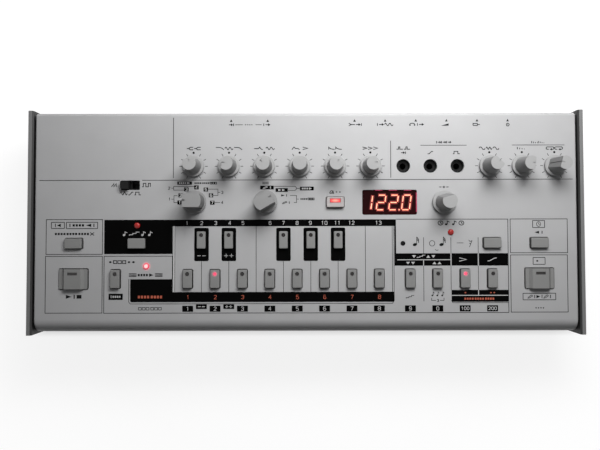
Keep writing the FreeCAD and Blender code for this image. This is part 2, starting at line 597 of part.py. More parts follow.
def make_rear_panel():
    """Upright plate on the case's sill, with the holes for the rear sockets and controls."""
    reach = rear_panel_reach()
    plate = box(-reach, reach, REAR_INSIDE, HALF_DEPTH, SILL_TOP, REAR_RIM - SEAM_GAP)
    near, far = REAR_INSIDE - 1, HALF_DEPTH + 1
    tools = [rod_y(x, near, far, ROUND_SOCKET_HEIGHT, ROUND_SOCKET_RADIUS + WALL_HOLE_GAP)
             for x in ROUND_SOCKETS_X]
    tools += [rod_y(x, near, far, REAR_JACK_HEIGHT, JACK_NOSE_RADIUS + WALL_HOLE_GAP)
              for x in rear_jack_xs()]
    tools.append(rod_y(VOLUME_X, near, far, REAR_CONTROL_HEIGHT, SHAFT_HOLE_RADIUS))
    tools.append(box(POWER_X - POWER_SLOT_LENGTH / 2, POWER_X + POWER_SLOT_LENGTH / 2, near, far,
                     REAR_CONTROL_HEIGHT - POWER_SLOT_HEIGHT / 2,
                     REAR_CONTROL_HEIGHT + POWER_SLOT_HEIGHT / 2))
    tools.append(box(USB_X - USB_WIDTH / 2 - WALL_HOLE_GAP, USB_X + USB_WIDTH / 2 + WALL_HOLE_GAP, near, far,
                     MAIN_BOARD_TOP - WALL_HOLE_GAP, MAIN_BOARD_TOP + USB_HEIGHT + WALL_HOLE_GAP))
    return plate.cut(tools)


def hinge_lug(x):
    """Rounded lug under the case that turns on the dock's pin."""
    low, high = x - HINGE_LUG_WIDTH / 2, x + HINGE_LUG_WIDTH / 2
    neck = box(low, high, HINGE_Y - HINGE_LUG_RADIUS, HINGE_Y + HINGE_LUG_RADIUS,
               HINGE_Z, CASE_BOTTOM + CASE_WALL / 2)
    return neck.fuse(rod_x(low, high, HINGE_Y, HINGE_Z, HINGE_LUG_RADIUS))


def battery_box():
    """Walls and roof round the cells, open below."""
    outer = block(BAY_X, BAY_Y, BAY_LENGTH + 2 * BAY_WALL, BAY_WIDTH + 2 * BAY_WALL,
                  CASE_FLOOR - CASE_WALL / 2, BAY_ROOF + BAY_WALL)
    inner = block(BAY_X, BAY_Y, BAY_LENGTH, BAY_WIDTH, CASE_FLOOR - CASE_WALL, BAY_ROOF)
    return outer.cut(inner)


def case_openings():
    """Tools that cut the case: battery opening, pins, screw holes and grille."""
    low, high = CASE_BOTTOM - 1, CASE_FLOOR + 1
    shoulder = CASE_BOTTOM + CASE_BOSS_HEIGHT
    tools = [block(BAY_X, BAY_Y, BAY_LENGTH, BAY_WIDTH, low, high), battery_pin(RUNNING_GAP)]
    for x, y in case_screw_places():
        tools.append(rod(x, y, CASE_SCREW_HEAD_RADIUS + SCREW_GAP, low, shoulder))
        tools.append(rod(x, y, CASE_SCREW_RADIUS + SCREW_GAP, low, shoulder + CASE_WALL + 1))
    tools += [rod(x, y, BOARD_SCREW_RADIUS + RUNNING_GAP, CASE_FLOOR - 1, MAIN_BOARD_UNDER + 1)
              for x, y in main_post_places()]
    tools += grille_slots(low, high)
    tools += [rod_x(side * HINGE_X - HINGE_LUG_WIDTH, side * HINGE_X + HINGE_LUG_WIDTH, HINGE_Y, HINGE_Z,
                    HINGE_PIN_RADIUS + RUNNING_GAP) for side in (-1, 1)]
    return tools


def make_panel_board():
    """Board under the panel, with cut-outs for the sockets and the header to the main board."""
    reach = HALF_LENGTH - PANEL_BOARD_SIDE_INSET
    board = box(-reach, reach, PANEL_BOARD_FRONT, PANEL_BOARD_REAR, BOARD_UNDER, BOARD_TOP)
    room = JACK_BODY + 2 * WALL_HOLE_GAP
    tools = [block(x, KNOB_ROW_Y, room, room, BOARD_UNDER - 1, BOARD_TOP + 1) for x in panel_jack_xs()]
    tools += [rod(x, y, BOARD_SCREW_RADIUS + SCREW_GAP, BOARD_UNDER - 1, BOARD_TOP + 1)
              for x, y in standoff_places()]
    header = block(MAIN_BOARD_LEFT + HEADER_INSET_X, MAIN_BOARD_FRONT + HEADER_INSET_Y, HEADER_LENGTH,
                   HEADER_WIDTH, MAIN_BOARD_TOP, BOARD_UNDER)
    return [board.cut(tools), header]


def make_main_board():
    """Board on the case floor that carries the rear sockets and the chips."""
    board = box(MAIN_BOARD_LEFT, MAIN_BOARD_RIGHT, MAIN_BOARD_FRONT, MAIN_BOARD_REAR,
                MAIN_BOARD_UNDER, MAIN_BOARD_TOP)
    board = board.cut([rod(x, y, BOARD_SCREW_RADIUS + SCREW_GAP, MAIN_BOARD_UNDER - 1, MAIN_BOARD_TOP + 1)
                       for x, y in main_post_places()])
    chips = [block(MAIN_BOARD_LEFT + x, MAIN_BOARD_FRONT + y, width, depth, MAIN_BOARD_TOP,
                   MAIN_BOARD_TOP + height) for x, y, width, depth, height in CHIPS]
    return [board] + chips


def control_body(x, y, width):
    """Potentiometer, encoder or rotary switch under the panel, with the hole for its shaft."""
    body = block(x, y, width, width, BOARD_TOP, POT_TOP)
    return body.cut(rod(x, y, SHAFT_RADIUS + RUNNING_GAP, SHAFT_END - RUNNING_GAP, POT_TOP + 1))


def make_control_bodies():
    """All potentiometer, encoder and rotary switch bodies and the bodies of the rear controls."""
    bodies = [control_body(x, y, POT_WIDTH) for _, x, y, _ in tone_knob_places()]
    bodies.append(control_body(VALUE_KNOB_X, LOWER_ROW_Y, ENCODER_WIDTH))
    bodies += [control_body(x, SELECTOR_Y, ROTARY_WIDTH) for x, _ in SELECTORS.values()]
    rear = REAR_INSIDE - WALL_HOLE_GAP
    half = REAR_POT_WIDTH / 2
    pot = box(VOLUME_X - half, VOLUME_X + half, rear - REAR_POT_DEPTH, rear,
              MAIN_BOARD_TOP, REAR_CONTROL_HEIGHT + half)
    pot = pot.cut(rod_y(VOLUME_X, rear - SHAFT_DEPTH - RUNNING_GAP, rear + 1, REAR_CONTROL_HEIGHT,
                        SHAFT_RADIUS + RUNNING_GAP))
    switch = box(POWER_X - POWER_SLOT_LENGTH, POWER_X + POWER_SLOT_LENGTH, rear - REAR_POT_DEPTH,
                 rear, MAIN_BOARD_TOP, REAR_CONTROL_HEIGHT + POWER_SLOT_HEIGHT)
    slot = box(POWER_X - POWER_SLOT_LENGTH / 2, POWER_X + POWER_SLOT_LENGTH / 2, rear - POWER_THUMB_PROUD,
               rear + 1, REAR_CONTROL_HEIGHT - POWER_SLOT_HEIGHT / 2,
               REAR_CONTROL_HEIGHT + POWER_SLOT_HEIGHT / 2)
    return bodies + [pot, switch.cut(slot)]


def make_key_switches():
    """Push switches under the buttons and the slide switch under the panel's slot."""
    switches = []
    for _, kind, x, y, _, _ in button_places():
        body = block(x, y + stem_offset(kind), SWITCH_WIDTH, SWITCH_WIDTH, BOARD_TOP,
                     BOARD_TOP + SWITCH_HEIGHT)
        plunger = rod(x, y + stem_offset(kind), PLUNGER_RADIUS, BOARD_TOP + SWITCH_HEIGHT, PLUNGER_TOP)
        switches.append(body.fuse(plunger))
    slide = block(SLOT_X, SLOT_Y, SLIDE_BODY_LENGTH, SLIDE_BODY_WIDTH, BOARD_TOP,
                  BOARD_TOP + SLIDE_BODY_HEIGHT)
    groove = block(SLOT_X, SLOT_Y, SLOT_LENGTH, THUMB_WIDTH / 2 + BUTTON_GAP,
                   BOARD_TOP + SLIDE_BODY_HEIGHT / 2, BOARD_TOP + SLIDE_BODY_HEIGHT + 1)
    return switches + [slide.cut(groove)]


def make_leds():
    """Lamps of the keys, round lamps of the panel and bar lamps under the lit buttons."""
    lamps = []
    shoulder = RIM_UNDER - LAMP_SHOULDER
    for name, kind, x, y, _, _ in button_places():
        if kind == "key":
            lens_y = y + KEY_LAMP_OFFSET
            tip = rod(x, lens_y, KEY_LAMP_RADIUS, shoulder, BUTTON_TOP - KEY_LAMP_RECESS)
            lamps.append(rod(x, lens_y, LAMP_BASE_RADIUS, BOARD_TOP, shoulder).fuse(tip))
    for x, y in PANEL_LAMPS:
        straight = PANEL_TOP + PANEL_LAMP_PROUD - PANEL_LAMP_RADIUS
        dome = Part.makeSphere(PANEL_LAMP_RADIUS, V(x, y, straight))
        lamps.append(join([rod(x, y, PANEL_LAMP_RADIUS, BOARD_TOP, straight), dome]))
    for name, kind, x, y, _, _ in button_places():
        if lamp_window(name):
            width, depth, offset = lamp_window(name)
            base = block(x, y + offset, width - 2 * LAMP_BAR_INSET, depth - LAMP_BAR_INSET, BOARD_TOP,
                         shoulder)
            lens = block(x, y + offset, width - 2 * WINDOW_GAP, depth - 2 * WINDOW_GAP, shoulder,
                         button_top(kind) - WINDOW_RECESS)
            lamps.append(base.fuse(lens))
    return lamps


def make_display():
    """Digit display on the board and the red window in the panel."""
    glass_top = PANEL_TOP - DISPLAY_GLASS_SINK
    glass = rounded_prism(DISPLAY_X, LOWER_ROW_Y, DISPLAY_LENGTH - 2 * DISPLAY_GAP,
                          DISPLAY_WIDTH - 2 * DISPLAY_GAP, DISPLAY_CORNER - DISPLAY_GAP,
                          glass_top - DISPLAY_GLASS, glass_top)
    module = block(DISPLAY_X, LOWER_ROW_Y, DISPLAY_LENGTH, DISPLAY_WIDTH, BOARD_TOP,
                   glass_top - DISPLAY_GLASS - DISPLAY_GAP)
    parts["display_window"] = [glass]
    parts["display_module"] = [module]


def panel_jack(x):
    """Socket whose mouth looks up through the panel."""
    mouth = COVER_UNDER - PANEL_JACK_DROP
    collar = mouth - JACK_NOSE_LENGTH
    body = block(x, KNOB_ROW_Y, JACK_BODY, JACK_BODY, mouth - JACK_BODY_LENGTH, collar)
    nose = rod(x, KNOB_ROW_Y, JACK_NOSE_RADIUS, collar, mouth)
    bore = rod(x, KNOB_ROW_Y, JACK_BORE_RADIUS, mouth - JACK_BORE_LENGTH, mouth + 1)
    return body.fuse(nose).cut(bore)


def rear_jack(x):
    """Socket whose mouth looks out through the rear wall."""
    mouth = REAR_INSIDE - SEAM_GAP
    collar = mouth - JACK_NOSE_LENGTH
    half = JACK_BODY / 2
    body = box(x - half, x + half, mouth - JACK_BODY_LENGTH, collar, MAIN_BOARD_TOP,
               REAR_JACK_HEIGHT + half)
    nose = rod_y(x, collar, mouth, REAR_JACK_HEIGHT, JACK_NOSE_RADIUS)
    bore = rod_y(x, mouth - JACK_BORE_LENGTH, mouth + 1, REAR_JACK_HEIGHT, JACK_BORE_RADIUS)
    return body.fuse(nose).cut(bore)


def round_socket(x):
    """Five-pin round socket in the rear wall: its shell and, on the shell's floor, its pin block."""
    face = HALF_DEPTH - SEAM_GAP
    wall = REAR_INSIDE - SEAM_GAP
    half = ROUND_SOCKET_BODY / 2
    body = box(x - half, x + half, wall - ROUND_SOCKET_DEPTH, wall, MAIN_BOARD_TOP,
               ROUND_SOCKET_HEIGHT + half)
    nose = rod_y(x, wall, face, ROUND_SOCKET_HEIGHT, ROUND_SOCKET_RADIUS)
    deep = face - ROUND_GROOVE_DEPTH
    shell = body.fuse(nose).cut(rod_y(x, deep, face + 1, ROUND_SOCKET_HEIGHT, ROUND_GROOVE_OUTER))
    holes = []
    for index in range(ROUND_PIN_COUNT):
        angle = math.radians(90 + (index - (ROUND_PIN_COUNT - 1) / 2) * ROUND_PIN_STEP)
        holes.append(rod_y(x + ROUND_PIN_CIRCLE * math.cos(angle), face - ROUND_PIN_DEPTH, face + 1,
                           ROUND_SOCKET_HEIGHT + ROUND_PIN_CIRCLE * math.sin(angle), ROUND_PIN_HOLE))
    pin_block = rod_y(x, deep, face, ROUND_SOCKET_HEIGHT, ROUND_GROOVE_INNER).cut(holes)
    return [shell, pin_block]


def usb_socket():
    """Flat data and power socket on the main board, with its tongue."""
    face = HALF_DEPTH - SEAM_GAP
    half = USB_WIDTH / 2
    top = MAIN_BOARD_TOP + USB_HEIGHT
    middle = MAIN_BOARD_TOP + USB_HEIGHT / 2
    back = face - USB_DEPTH
    shell = box(USB_X - half, USB_X + half, back, face, MAIN_BOARD_TOP, top)
    shell = shell.cut(box(USB_X - half + USB_SHELL, USB_X + half - USB_SHELL, back + 2 * USB_SHELL,
                          face + 1, MAIN_BOARD_TOP + USB_SHELL, top - USB_SHELL))
    tongue = box(USB_X - USB_TONGUE_WIDTH / 2, USB_X + USB_TONGUE_WIDTH / 2, back, face - USB_HEIGHT / 2,
                 middle - USB_TONGUE_THICKNESS / 2, middle + USB_TONGUE_THICKNESS / 2)
    return join([shell, tongue])


def make_sockets():
    """Every socket of the panel and the rear wall."""
    solids = [panel_jack(x) for x in panel_jack_xs()] + [rear_jack(x) for x in rear_jack_xs()]
    for x in ROUND_SOCKETS_X:
        solids += round_socket(x)
    return solids + [usb_socket()]


def make_speaker():
    """Small round speaker on the case floor: rim, cone and magnet."""
    rim_top = CASE_FLOOR + SPEAKER_RIM
    magnet_low = CASE_FLOOR + SPEAKER_HEIGHT / 2
    top = CASE_FLOOR + SPEAKER_HEIGHT
    rim = rod(SPEAKER_X, SPEAKER_Y, SPEAKER_RADIUS, CASE_FLOOR, rim_top)
    rim = rim.cut(rod(SPEAKER_X, SPEAKER_Y, SPEAKER_RADIUS - SPEAKER_RIM, CASE_FLOOR, rim_top))
    cone = Part.makeCone(SPEAKER_RADIUS - SPEAKER_RIM, SPEAKER_MAGNET_RADIUS / 2, magnet_low - rim_top,
                         V(SPEAKER_X, SPEAKER_Y, rim_top), Z_AXIS)
    magnet = rod(SPEAKER_X, SPEAKER_Y, SPEAKER_MAGNET_RADIUS, magnet_low, top)
    bridge = block(SPEAKER_X, SPEAKER_Y, 2 * SPEAKER_RADIUS - SPEAKER_RIM, SPEAKER_RIM * 2, rim_top,
                   magnet_low)
    frame = join([rim, bridge.cut(cone)])
    return [frame, cone, magnet]


def cell_centres():
    """Left end and y of each battery cell."""
    start = BAY_X - BAY_LENGTH / 2 + CONTACT_THICKNESS + CONTACT_SPRING
    first_y = BAY_Y - (CELL_ROWS - 1) * (CELL_RADIUS + CELL_GAP / 2)
    pitch_y = 2 * CELL_RADIUS + CELL_GAP
    pitch_x = CELL_LENGTH + CELL_NUB_LENGTH
    return [(start + column * pitch_x, first_y + row * pitch_y, row)
            for row in range(CELL_ROWS) for column in range(CELLS_IN_ROW)]


def make_batteries():
    """Battery cells, rows facing opposite ways."""
    cells = []
    for left, y, row in cell_centres():
        right = left + CELL_LENGTH + CELL_NUB_LENGTH
        if row % 2:
            body = rod_x(left, left + CELL_LENGTH, y, CELL_Z, CELL_RADIUS)
            nub = rod_x(left + CELL_LENGTH, right, y, CELL_Z, CELL_NUB_RADIUS)
        else:
            body = rod_x(right - CELL_LENGTH, right, y, CELL_Z, CELL_RADIUS)
            nub = rod_x(left, right - CELL_LENGTH, y, CELL_Z, CELL_NUB_RADIUS)
        cells.append(join([body, nub]))
    return cells


def make_battery_contacts():
    """Contact plates with their bumps at both ends of each row."""
    contacts = []
    half = CONTACT_SIZE / 2
    for _, y, _ in cell_centres()[::CELLS_IN_ROW]:
        for side in (-1, 1):
            wall = BAY_X + side * BAY_LENGTH / 2
            inner = wall - side * CONTACT_THICKNESS
            touch = inner - side * CONTACT_SPRING
            plate = box(min(wall, inner), max(wall, inner), y - half, y + half, CELL_Z - half,
                        CELL_Z + half)
            bump = rod_x(min(inner, touch), max(inner, touch), y, CELL_Z, CELL_NUB_RADIUS)
            contacts.append(join([plate, bump]))
    return contacts


def battery_hinge():
    """Axis of the battery cover: y and z."""
    return BAY_Y + BAY_WIDTH / 2 - BATTERY_COVER_GAP - CASE_WALL / 2, CASE_BOTTOM + CASE_WALL / 2


def battery_pin(gap):
    """Pins at both ends of the battery cover, as one rod, enlarged by a gap."""
    y, z = battery_hinge()
    reach = BAY_LENGTH / 2 + BATTERY_PIN_LENGTH + gap
    return rod_x(BAY_X - reach, BAY_X + reach, y, z, BATTERY_PIN_RADIUS + gap)


def make_battery_cover():
    """Flush cover that swings down on two short pins, with a finger groove near its free edge."""
    y, z = battery_hinge()
    half = BAY_LENGTH / 2 - BATTERY_COVER_GAP
    front = BAY_Y - BAY_WIDTH / 2 + BATTERY_COVER_GAP
    plate = box(BAY_X - half, BAY_X + half, front, y, CASE_BOTTOM, CASE_FLOOR)
    edge = rod_x(BAY_X - half, BAY_X + half, y, z, CASE_WALL / 2)
    groove_y = front + FINGER_GROOVE_INSET + FINGER_GROOVE_WIDTH / 2
    groove = rounded_prism(BAY_X, groove_y, FINGER_GROOVE_LENGTH, FINGER_GROOVE_WIDTH,
                           FINGER_GROOVE_WIDTH / 2.2, CASE_BOTTOM, CASE_BOTTOM + FINGER_GROOVE_DEPTH)
    return join([plate, edge, battery_pin(0)]).cut(groove)


def make_unit_screws():
    """Case screws and the small screws of both boards."""
    screws = []
    shoulder = CASE_BOTTOM + CASE_BOSS_HEIGHT
    for x, y in case_screw_places():
        head = rod(x, y, CASE_SCREW_HEAD_RADIUS, shoulder - CASE_SCREW_HEAD_HEIGHT, shoulder)
        shank = rod(x, y, CASE_SCREW_RADIUS, shoulder, shoulder + CASE_SCREW_LENGTH - CASE_WALL)
        screws.append(join([head, shank]))
    for x, y in standoff_places():
        head = rod(x, y, 2 * BOARD_SCREW_RADIUS, BOARD_UNDER - BOARD_SCREW_RADIUS, BOARD_UNDER)
        screws.append(join([head, rod(x, y, BOARD_SCREW_RADIUS, BOARD_UNDER, BOARD_TOP + 4)]))
    for x, y in main_post_places():
        head = rod(x, y, 2 * BOARD_SCREW_RADIUS, MAIN_BOARD_TOP, MAIN_BOARD_TOP + BOARD_SCREW_RADIUS)
        screws.append(join([head, rod(x, y, BOARD_SCREW_RADIUS, CASE_FLOOR, MAIN_BOARD_TOP)]))
    return screws


def facet_tool(top, base, height):
    """Wedge that cuts the flat pointer facet, looking towards +Y before it is turned."""
    reach = 3 * KNOB_FLANGE_RADIUS
    slope = (base - top) / height
    low, high = KNOB_FLANGE_THICKNESS, height + 1
    profile = [(-reach, base - slope * low, low), (-reach, reach, low), (-reach, reach, high),
               (-reach, base - slope * high, high)]
    return prism(profile, V(2 * reach, 0, 0))


def place_knob(solid, x, y, angle):
    """Turn a knob to its pointer angle, clockwise seen from above, and set it on its shaft."""
    solid.rotate(V(0, 0, 0), Z_AXIS, -angle)
    solid.translate(V(x, y, KNOB_UNDER))
    return join([solid, rod(x, y, SHAFT_RADIUS, SHAFT_END, KNOB_UNDER + KNOB_FLANGE_THICKNESS)])


def make_round_knob(x, y, angle, scale, groove):
    """Flanged tapered knob with its facet and, where wanted, the engraved pointer."""
    height = KNOB_HEIGHT - KNOB_LIFT
    base, top = KNOB_BASE_RADIUS * scale, KNOB_TOP_RADIUS * scale
    flange = rod(0, 0, KNOB_FLANGE_RADIUS * scale, 0, KNOB_FLANGE_THICKNESS)
    flange = flange.makeChamfer(KNOB_FLANGE_THICKNESS / 4, top_edges(flange, KNOB_FLANGE_THICKNESS))
    body = Part.makeCone(base, top, height - KNOB_FLANGE_THICKNESS, V(0, 0, KNOB_FLANGE_THICKNESS), Z_AXIS)
    facet = facet_tool(KNOB_FACET_TOP * scale, KNOB_FACET_BASE * scale, height)
    body = body.cut(facet)
    if groove:
        half = KNOB_GROOVE_WIDTH / 2
        slit = box(-half, half, 0, 2 * base, KNOB_FLANGE_THICKNESS, height + 1)
        down = facet_tool(KNOB_FACET_TOP - KNOB_GROOVE_DEPTH, KNOB_FACET_BASE - KNOB_GROOVE_DEPTH, height)
        across = box(-half, half, KNOB_FACET_TOP - KNOB_GROOVE_LENGTH, 2 * base,
                     height - KNOB_GROOVE_DEPTH, height + 1)
        body = body.cut([down.common(slit), across])
    return place_knob(join([flange, body]), x, y, angle)


def make_selector(x, y, angle):
    """Bar-shaped selector knob on a round flange, with a notch at its pointer end."""
    height = KNOB_HEIGHT - KNOB_LIFT
    low = KNOB_FLANGE_THICKNESS
    flange = rod(0, 0, SELECTOR_FLANGE_RADIUS, 0, low)
    flange = flange.makeChamfer(low / 4, top_edges(flange, low))
    barrel = rod(0, 0, SELECTOR_BODY_RADIUS, low, height)
    bar = block(0, 0, SELECTOR_BAR_WIDTH, 3 * SELECTOR_BODY_RADIUS, low, height)
    bar = barrel.common(bar)
    nose = block(0, SELECTOR_NOSE + SELECTOR_BODY_RADIUS, 2 * SELECTOR_BAR_WIDTH,
                 2 * SELECTOR_BODY_RADIUS, low, height + 1)
    notch = block(0, SELECTOR_NOSE, KNOB_GROOVE_WIDTH * 2, 2 * KNOB_GROOVE_LENGTH,
                  height - 2 * KNOB_GROOVE_DEPTH, height + 1)
    return place_knob(join([flange, bar.cut([nose, notch])]), x, y, angle)


def make_knobs():
    """All knobs and selectors on the panel."""
    for name, x, y, angle in tone_knob_places():
        parts[f"{name}_knob"] = [make_round_knob(x, y, angle, 1.0, True)]
    parts["value_knob"] = [make_round_knob(VALUE_KNOB_X, LOWER_ROW_Y, VALUE_KNOB_ANGLE,
                                           VALUE_KNOB_SCALE, False)]
    for name, (x, angle) in SELECTORS.items():
        parts[f"{name}_selector"] = [make_selector(x, SELECTOR_Y, angle)]


def wing_tool(x, y, side, width, depth, top):
    """Tool that lowers one side of a large button, with a bevel up to its middle pad."""
    pad = x + side * LARGE_PAD_WIDTH / 2
    foot = pad + side * LARGE_BEVEL
    end = x + side * (width / 2 + 1)
    low = top - LARGE_WING_DROP
    front = y - depth / 2 - 1
    profile = [(pad, front, top), (foot, front, low), (end, front, low), (end, front, top + 1),
               (pad, front, top + 1)]
    return prism(profile, V(0, depth + 2, 0))


def button_cap(name, kind, x, y, width, depth):
    """Button with its retaining rim below the panel and the stem over its switch."""
    top = button_top(kind)
    cap = rounded_prism(x, y, width, depth, BUTTON_CORNER, RIM_UNDER, top)
    if kind == "large":
        cap = cap.cut([wing_tool(x, y, side, width, depth, top) for side in (-1, 1)])
    else:
        cap = cap.makeFillet(BUTTON_EDGE, top_edges(cap, top))
    rim = block(x, y, width + 2 * BUTTON_RIM, depth + 2 * BUTTON_RIM, RIM_UNDER, RIM_TOP)
    stem = block(x, y + stem_offset(kind), STEM_WIDTH, STEM_WIDTH, STEM_UNDER, RIM_UNDER)
    solid = join([cap, rim, stem])
    tools = []
    if kind == "key":
        tools.append(rod(x, y + KEY_LAMP_OFFSET, KEY_LAMP_HOLE_RADIUS, RIM_UNDER - 1, top + 1))
    if lamp_window(name):
        window_width, window_depth, offset = lamp_window(name)
        tools.append(block(x, y + offset, window_width, window_depth, RIM_UNDER - 1, top + 1))
    return solid.cut(tools) if tools else solid


def make_buttons():
    """Every push button."""
    for row in button_places():
        parts[row[0]] = [button_cap(*row)]


def make_waveform_slider():
    """Thumb of the slide switch, with its plate below the panel and its tongue in the switch."""
    x = SLOT_X - SLOT_LENGTH / 2 + THUMB_END_GAP + THUMB_LENGTH / 2
    switch_top = BOARD_TOP + SLIDE_BODY_HEIGHT
    thumb = rounded_prism(x, SLOT_Y, THUMB_LENGTH, THUMB_WIDTH, BUTTON_CORNER,
                          switch_top + RIM_GAP, PANEL_TOP + THUMB_PROUD)
    plate = block(x, SLOT_Y, THUMB_LENGTH + 2 * BUTTON_RIM, SLOT_WIDTH + 2 * BUTTON_RIM, RIM_UNDER,
                  RIM_TOP)
    tongue = block(x, SLOT_Y, THUMB_LENGTH / 2, THUMB_WIDTH / 2, BOARD_TOP + SLIDE_BODY_HEIGHT / 2 + RIM_GAP,
                   switch_top + RIM_GAP)
    return join([thumb, plate, tongue])


def make_volume_knob():
    """Fluted rear knob on its shaft."""
    near = HALF_DEPTH + WALL_HOLE_GAP
    far = near + VOLUME_LENGTH
    cap = rod_y(VOLUME_X, near, far, REAR_CONTROL_HEIGHT, VOLUME_RADIUS)
    flutes = []
    for index in range(VOLUME_FLUTES):
        angle = 2 * math.pi * index / VOLUME_FLUTES
        flutes.append(rod_y(VOLUME_X + VOLUME_RADIUS * math.cos(angle), near - 1, far + 1,
                            REAR_CONTROL_HEIGHT + VOLUME_RADIUS * math.sin(angle), FLUTE_RADIUS))
    shaft_end = REAR_INSIDE - WALL_HOLE_GAP - SHAFT_DEPTH
    shaft = rod_y(VOLUME_X, shaft_end, near + VOLUME_LENGTH / 2, REAR_CONTROL_HEIGHT, SHAFT_RADIUS)
    return join([cap.cut(flutes), shaft])


def make_power_slider():
    """Thumb of the rear power switch."""
    rear = REAR_INSIDE - WALL_HOLE_GAP
    left = POWER_X - POWER_SLOT_LENGTH / 2 + POWER_END_GAP
    half = POWER_THUMB_HEIGHT / 2
    return box(left, left + POWER_THUMB_LENGTH, rear - POWER_THUMB_PROUD / 2,
               HALF_DEPTH + POWER_THUMB_PROUD, REAR_CONTROL_HEIGHT - half, REAR_CONTROL_HEIGHT + half)


def prop_window():
    """Opening of the base plate in which the prop lies."""
    return box(-PROP_WIDTH / 2 - SWING_GAP, PROP_WIDTH / 2 + SWING_GAP,
               PROP_PIVOT_Y - PROP_THICKNESS / 2 - SWING_GAP, PROP_TIP_Y + PROP_TIP_RADIUS + SWING_GAP,
               FOOT_HEIGHT - 1, PLATE_TOP + 1)


def battery_window():
    """Opening of the base plate through which the battery cover swings."""
    margin = 4 * BATTERY_COVER_GAP + BAY_WALL
    return block(BAY_X, BAY_Y, BAY_LENGTH + 2 * margin, BAY_WIDTH + 2 * margin, FOOT_HEIGHT - 1,
                 PLATE_TOP + 1)


def cheek_screw_places():
    """Places of the screws that hold the cheeks to the base plate."""
    x = CHEEK_INNER - CHEEK_FLANGE_WIDTH / 2
    return [(side * x, row * CHEEK_SCREW_SPACING) for side in (-1, 1) for row in (-1, 0, 1)]


def make_dock_base():
    """Base plate with its windows, hinge notches and screw holes."""
    rear = DOCK_DEPTH / 2
    plate = box(-CHEEK_INNER, CHEEK_INNER, PLATE_FRONT, rear, FOOT_HEIGHT, PLATE_TOP)
    tools = [prop_window(), battery_window()]
    for side in (-1, 1):
        x = side * HINGE_X
        tools.append(block(x, HINGE_Y, HINGE_LUG_WIDTH + 2 * SWING_GAP,
                           2 * (HINGE_LUG_RADIUS + SWING_GAP) + 1, FOOT_HEIGHT - 1, PLATE_TOP + 1))
        tools.append(rod_x(x - HINGE_PIN_LENGTH / 2, x + HINGE_PIN_LENGTH / 2, HINGE_Y, HINGE_Z,
                           HINGE_PIN_RADIUS))
    reach = PROP_WIDTH / 2 + PROP_PIN_LENGTH + RUNNING_GAP
    tools.append(rod_x(-reach, reach, PROP_PIVOT_Y, HINGE_Z, PROP_PIN_RADIUS + RUNNING_GAP))
    tools += [rod(x, y, BOARD_SCREW_RADIUS + RUNNING_GAP, FOOT_HEIGHT - 1, PLATE_TOP - 0.4)
              for x, y in cheek_screw_places()]
    tools += grille_slots(FOOT_HEIGHT - 1, PLATE_TOP + 1)
    return plate.cut(tools)


def cheek(side):
    """Side plate with its chamfered inner top edge and the flange under the base plate."""
    low = FOOT_HEIGHT - CHEEK_FLANGE_THICKNESS
    end = DOCK_DEPTH / 2
    inner, outer = side * CHEEK_INNER, side * (CHEEK_INNER + CHEEK_THICKNESS)
    plate = box(min(inner, outer), max(inner, outer), -end, end, low, PANEL_TOP)
    bevel = prism([(inner, -end, PANEL_TOP - CHEEK_CHAMFER), (inner, -end, PANEL_TOP),
                   (inner + side * CHEEK_CHAMFER, -end, PANEL_TOP)], V(0, DOCK_DEPTH, 0))
    flange_inner = side * (CHEEK_INNER - CHEEK_FLANGE_WIDTH)
    flange = box(min(inner, flange_inner), max(inner, flange_inner), PLATE_FRONT, -PLATE_FRONT, low,
                 FOOT_HEIGHT)
    solid = join([plate.cut(bevel), flange])
    tools = []
    for x, y in cheek_screw_places():
        tools.append(rod(x, y, BOARD_SCREW_RADIUS + SCREW_GAP, low - 1, FOOT_HEIGHT + 1))
        tools.append(rod(x, y, 2 * BOARD_SCREW_RADIUS + SCREW_GAP, low - 1, FOOT_HEIGHT - 0.4))
    return solid.cut(tools)


def make_dock_feet():
    """Rubber feet under the base plate."""
    x = CHEEK_INNER - FOOT_INSET_X
    ys = (PLATE_FRONT + FOOT_INSET_Y, DOCK_DEPTH / 2 - FOOT_INSET_Y)
    return [rod(side * x, y, FOOT_RADIUS, 0, FOOT_HEIGHT) for side in (-1, 1) for y in ys]


def make_dock_fasteners():
    """Hinge pins and the screws of the cheeks."""
    solids = [rod_x(side * HINGE_X - HINGE_PIN_LENGTH / 2, side * HINGE_X + HINGE_PIN_LENGTH / 2,
                    HINGE_Y, HINGE_Z, HINGE_PIN_RADIUS) for side in (-1, 1)]
    for x, y in cheek_screw_places():
        head = rod(x, y, 2 * BOARD_SCREW_RADIUS, FOOT_HEIGHT - 1.1, FOOT_HEIGHT - 0.4)
        solids.append(join([head, rod(x, y, BOARD_SCREW_RADIUS, FOOT_HEIGHT - 0.4, PLATE_TOP - 0.8)]))
    return solids


def make_dock_prop():
    """Folding prop: pivot barrel with pins, flat arm and the round bar that carries the unit."""
    half = PROP_WIDTH / 2
    arm = box(-half, half, PROP_PIVOT_Y, PROP_TIP_Y, HINGE_Z - PROP_THICKNESS / 2,
              HINGE_Z + PROP_THICKNESS / 2)
    barrel = rod_x(-half, half, PROP_PIVOT_Y, HINGE_Z, PROP_THICKNESS / 2)
    tip = rod_x(-half, half, PROP_TIP_Y, HINGE_Z, PROP_TIP_RADIUS)
    reach = half + PROP_PIN_LENGTH
    pins = rod_x(-reach, reach, PROP_PIVOT_Y, HINGE_Z, PROP_PIN_RADIUS)
    return join([arm, barrel, tip, pins])


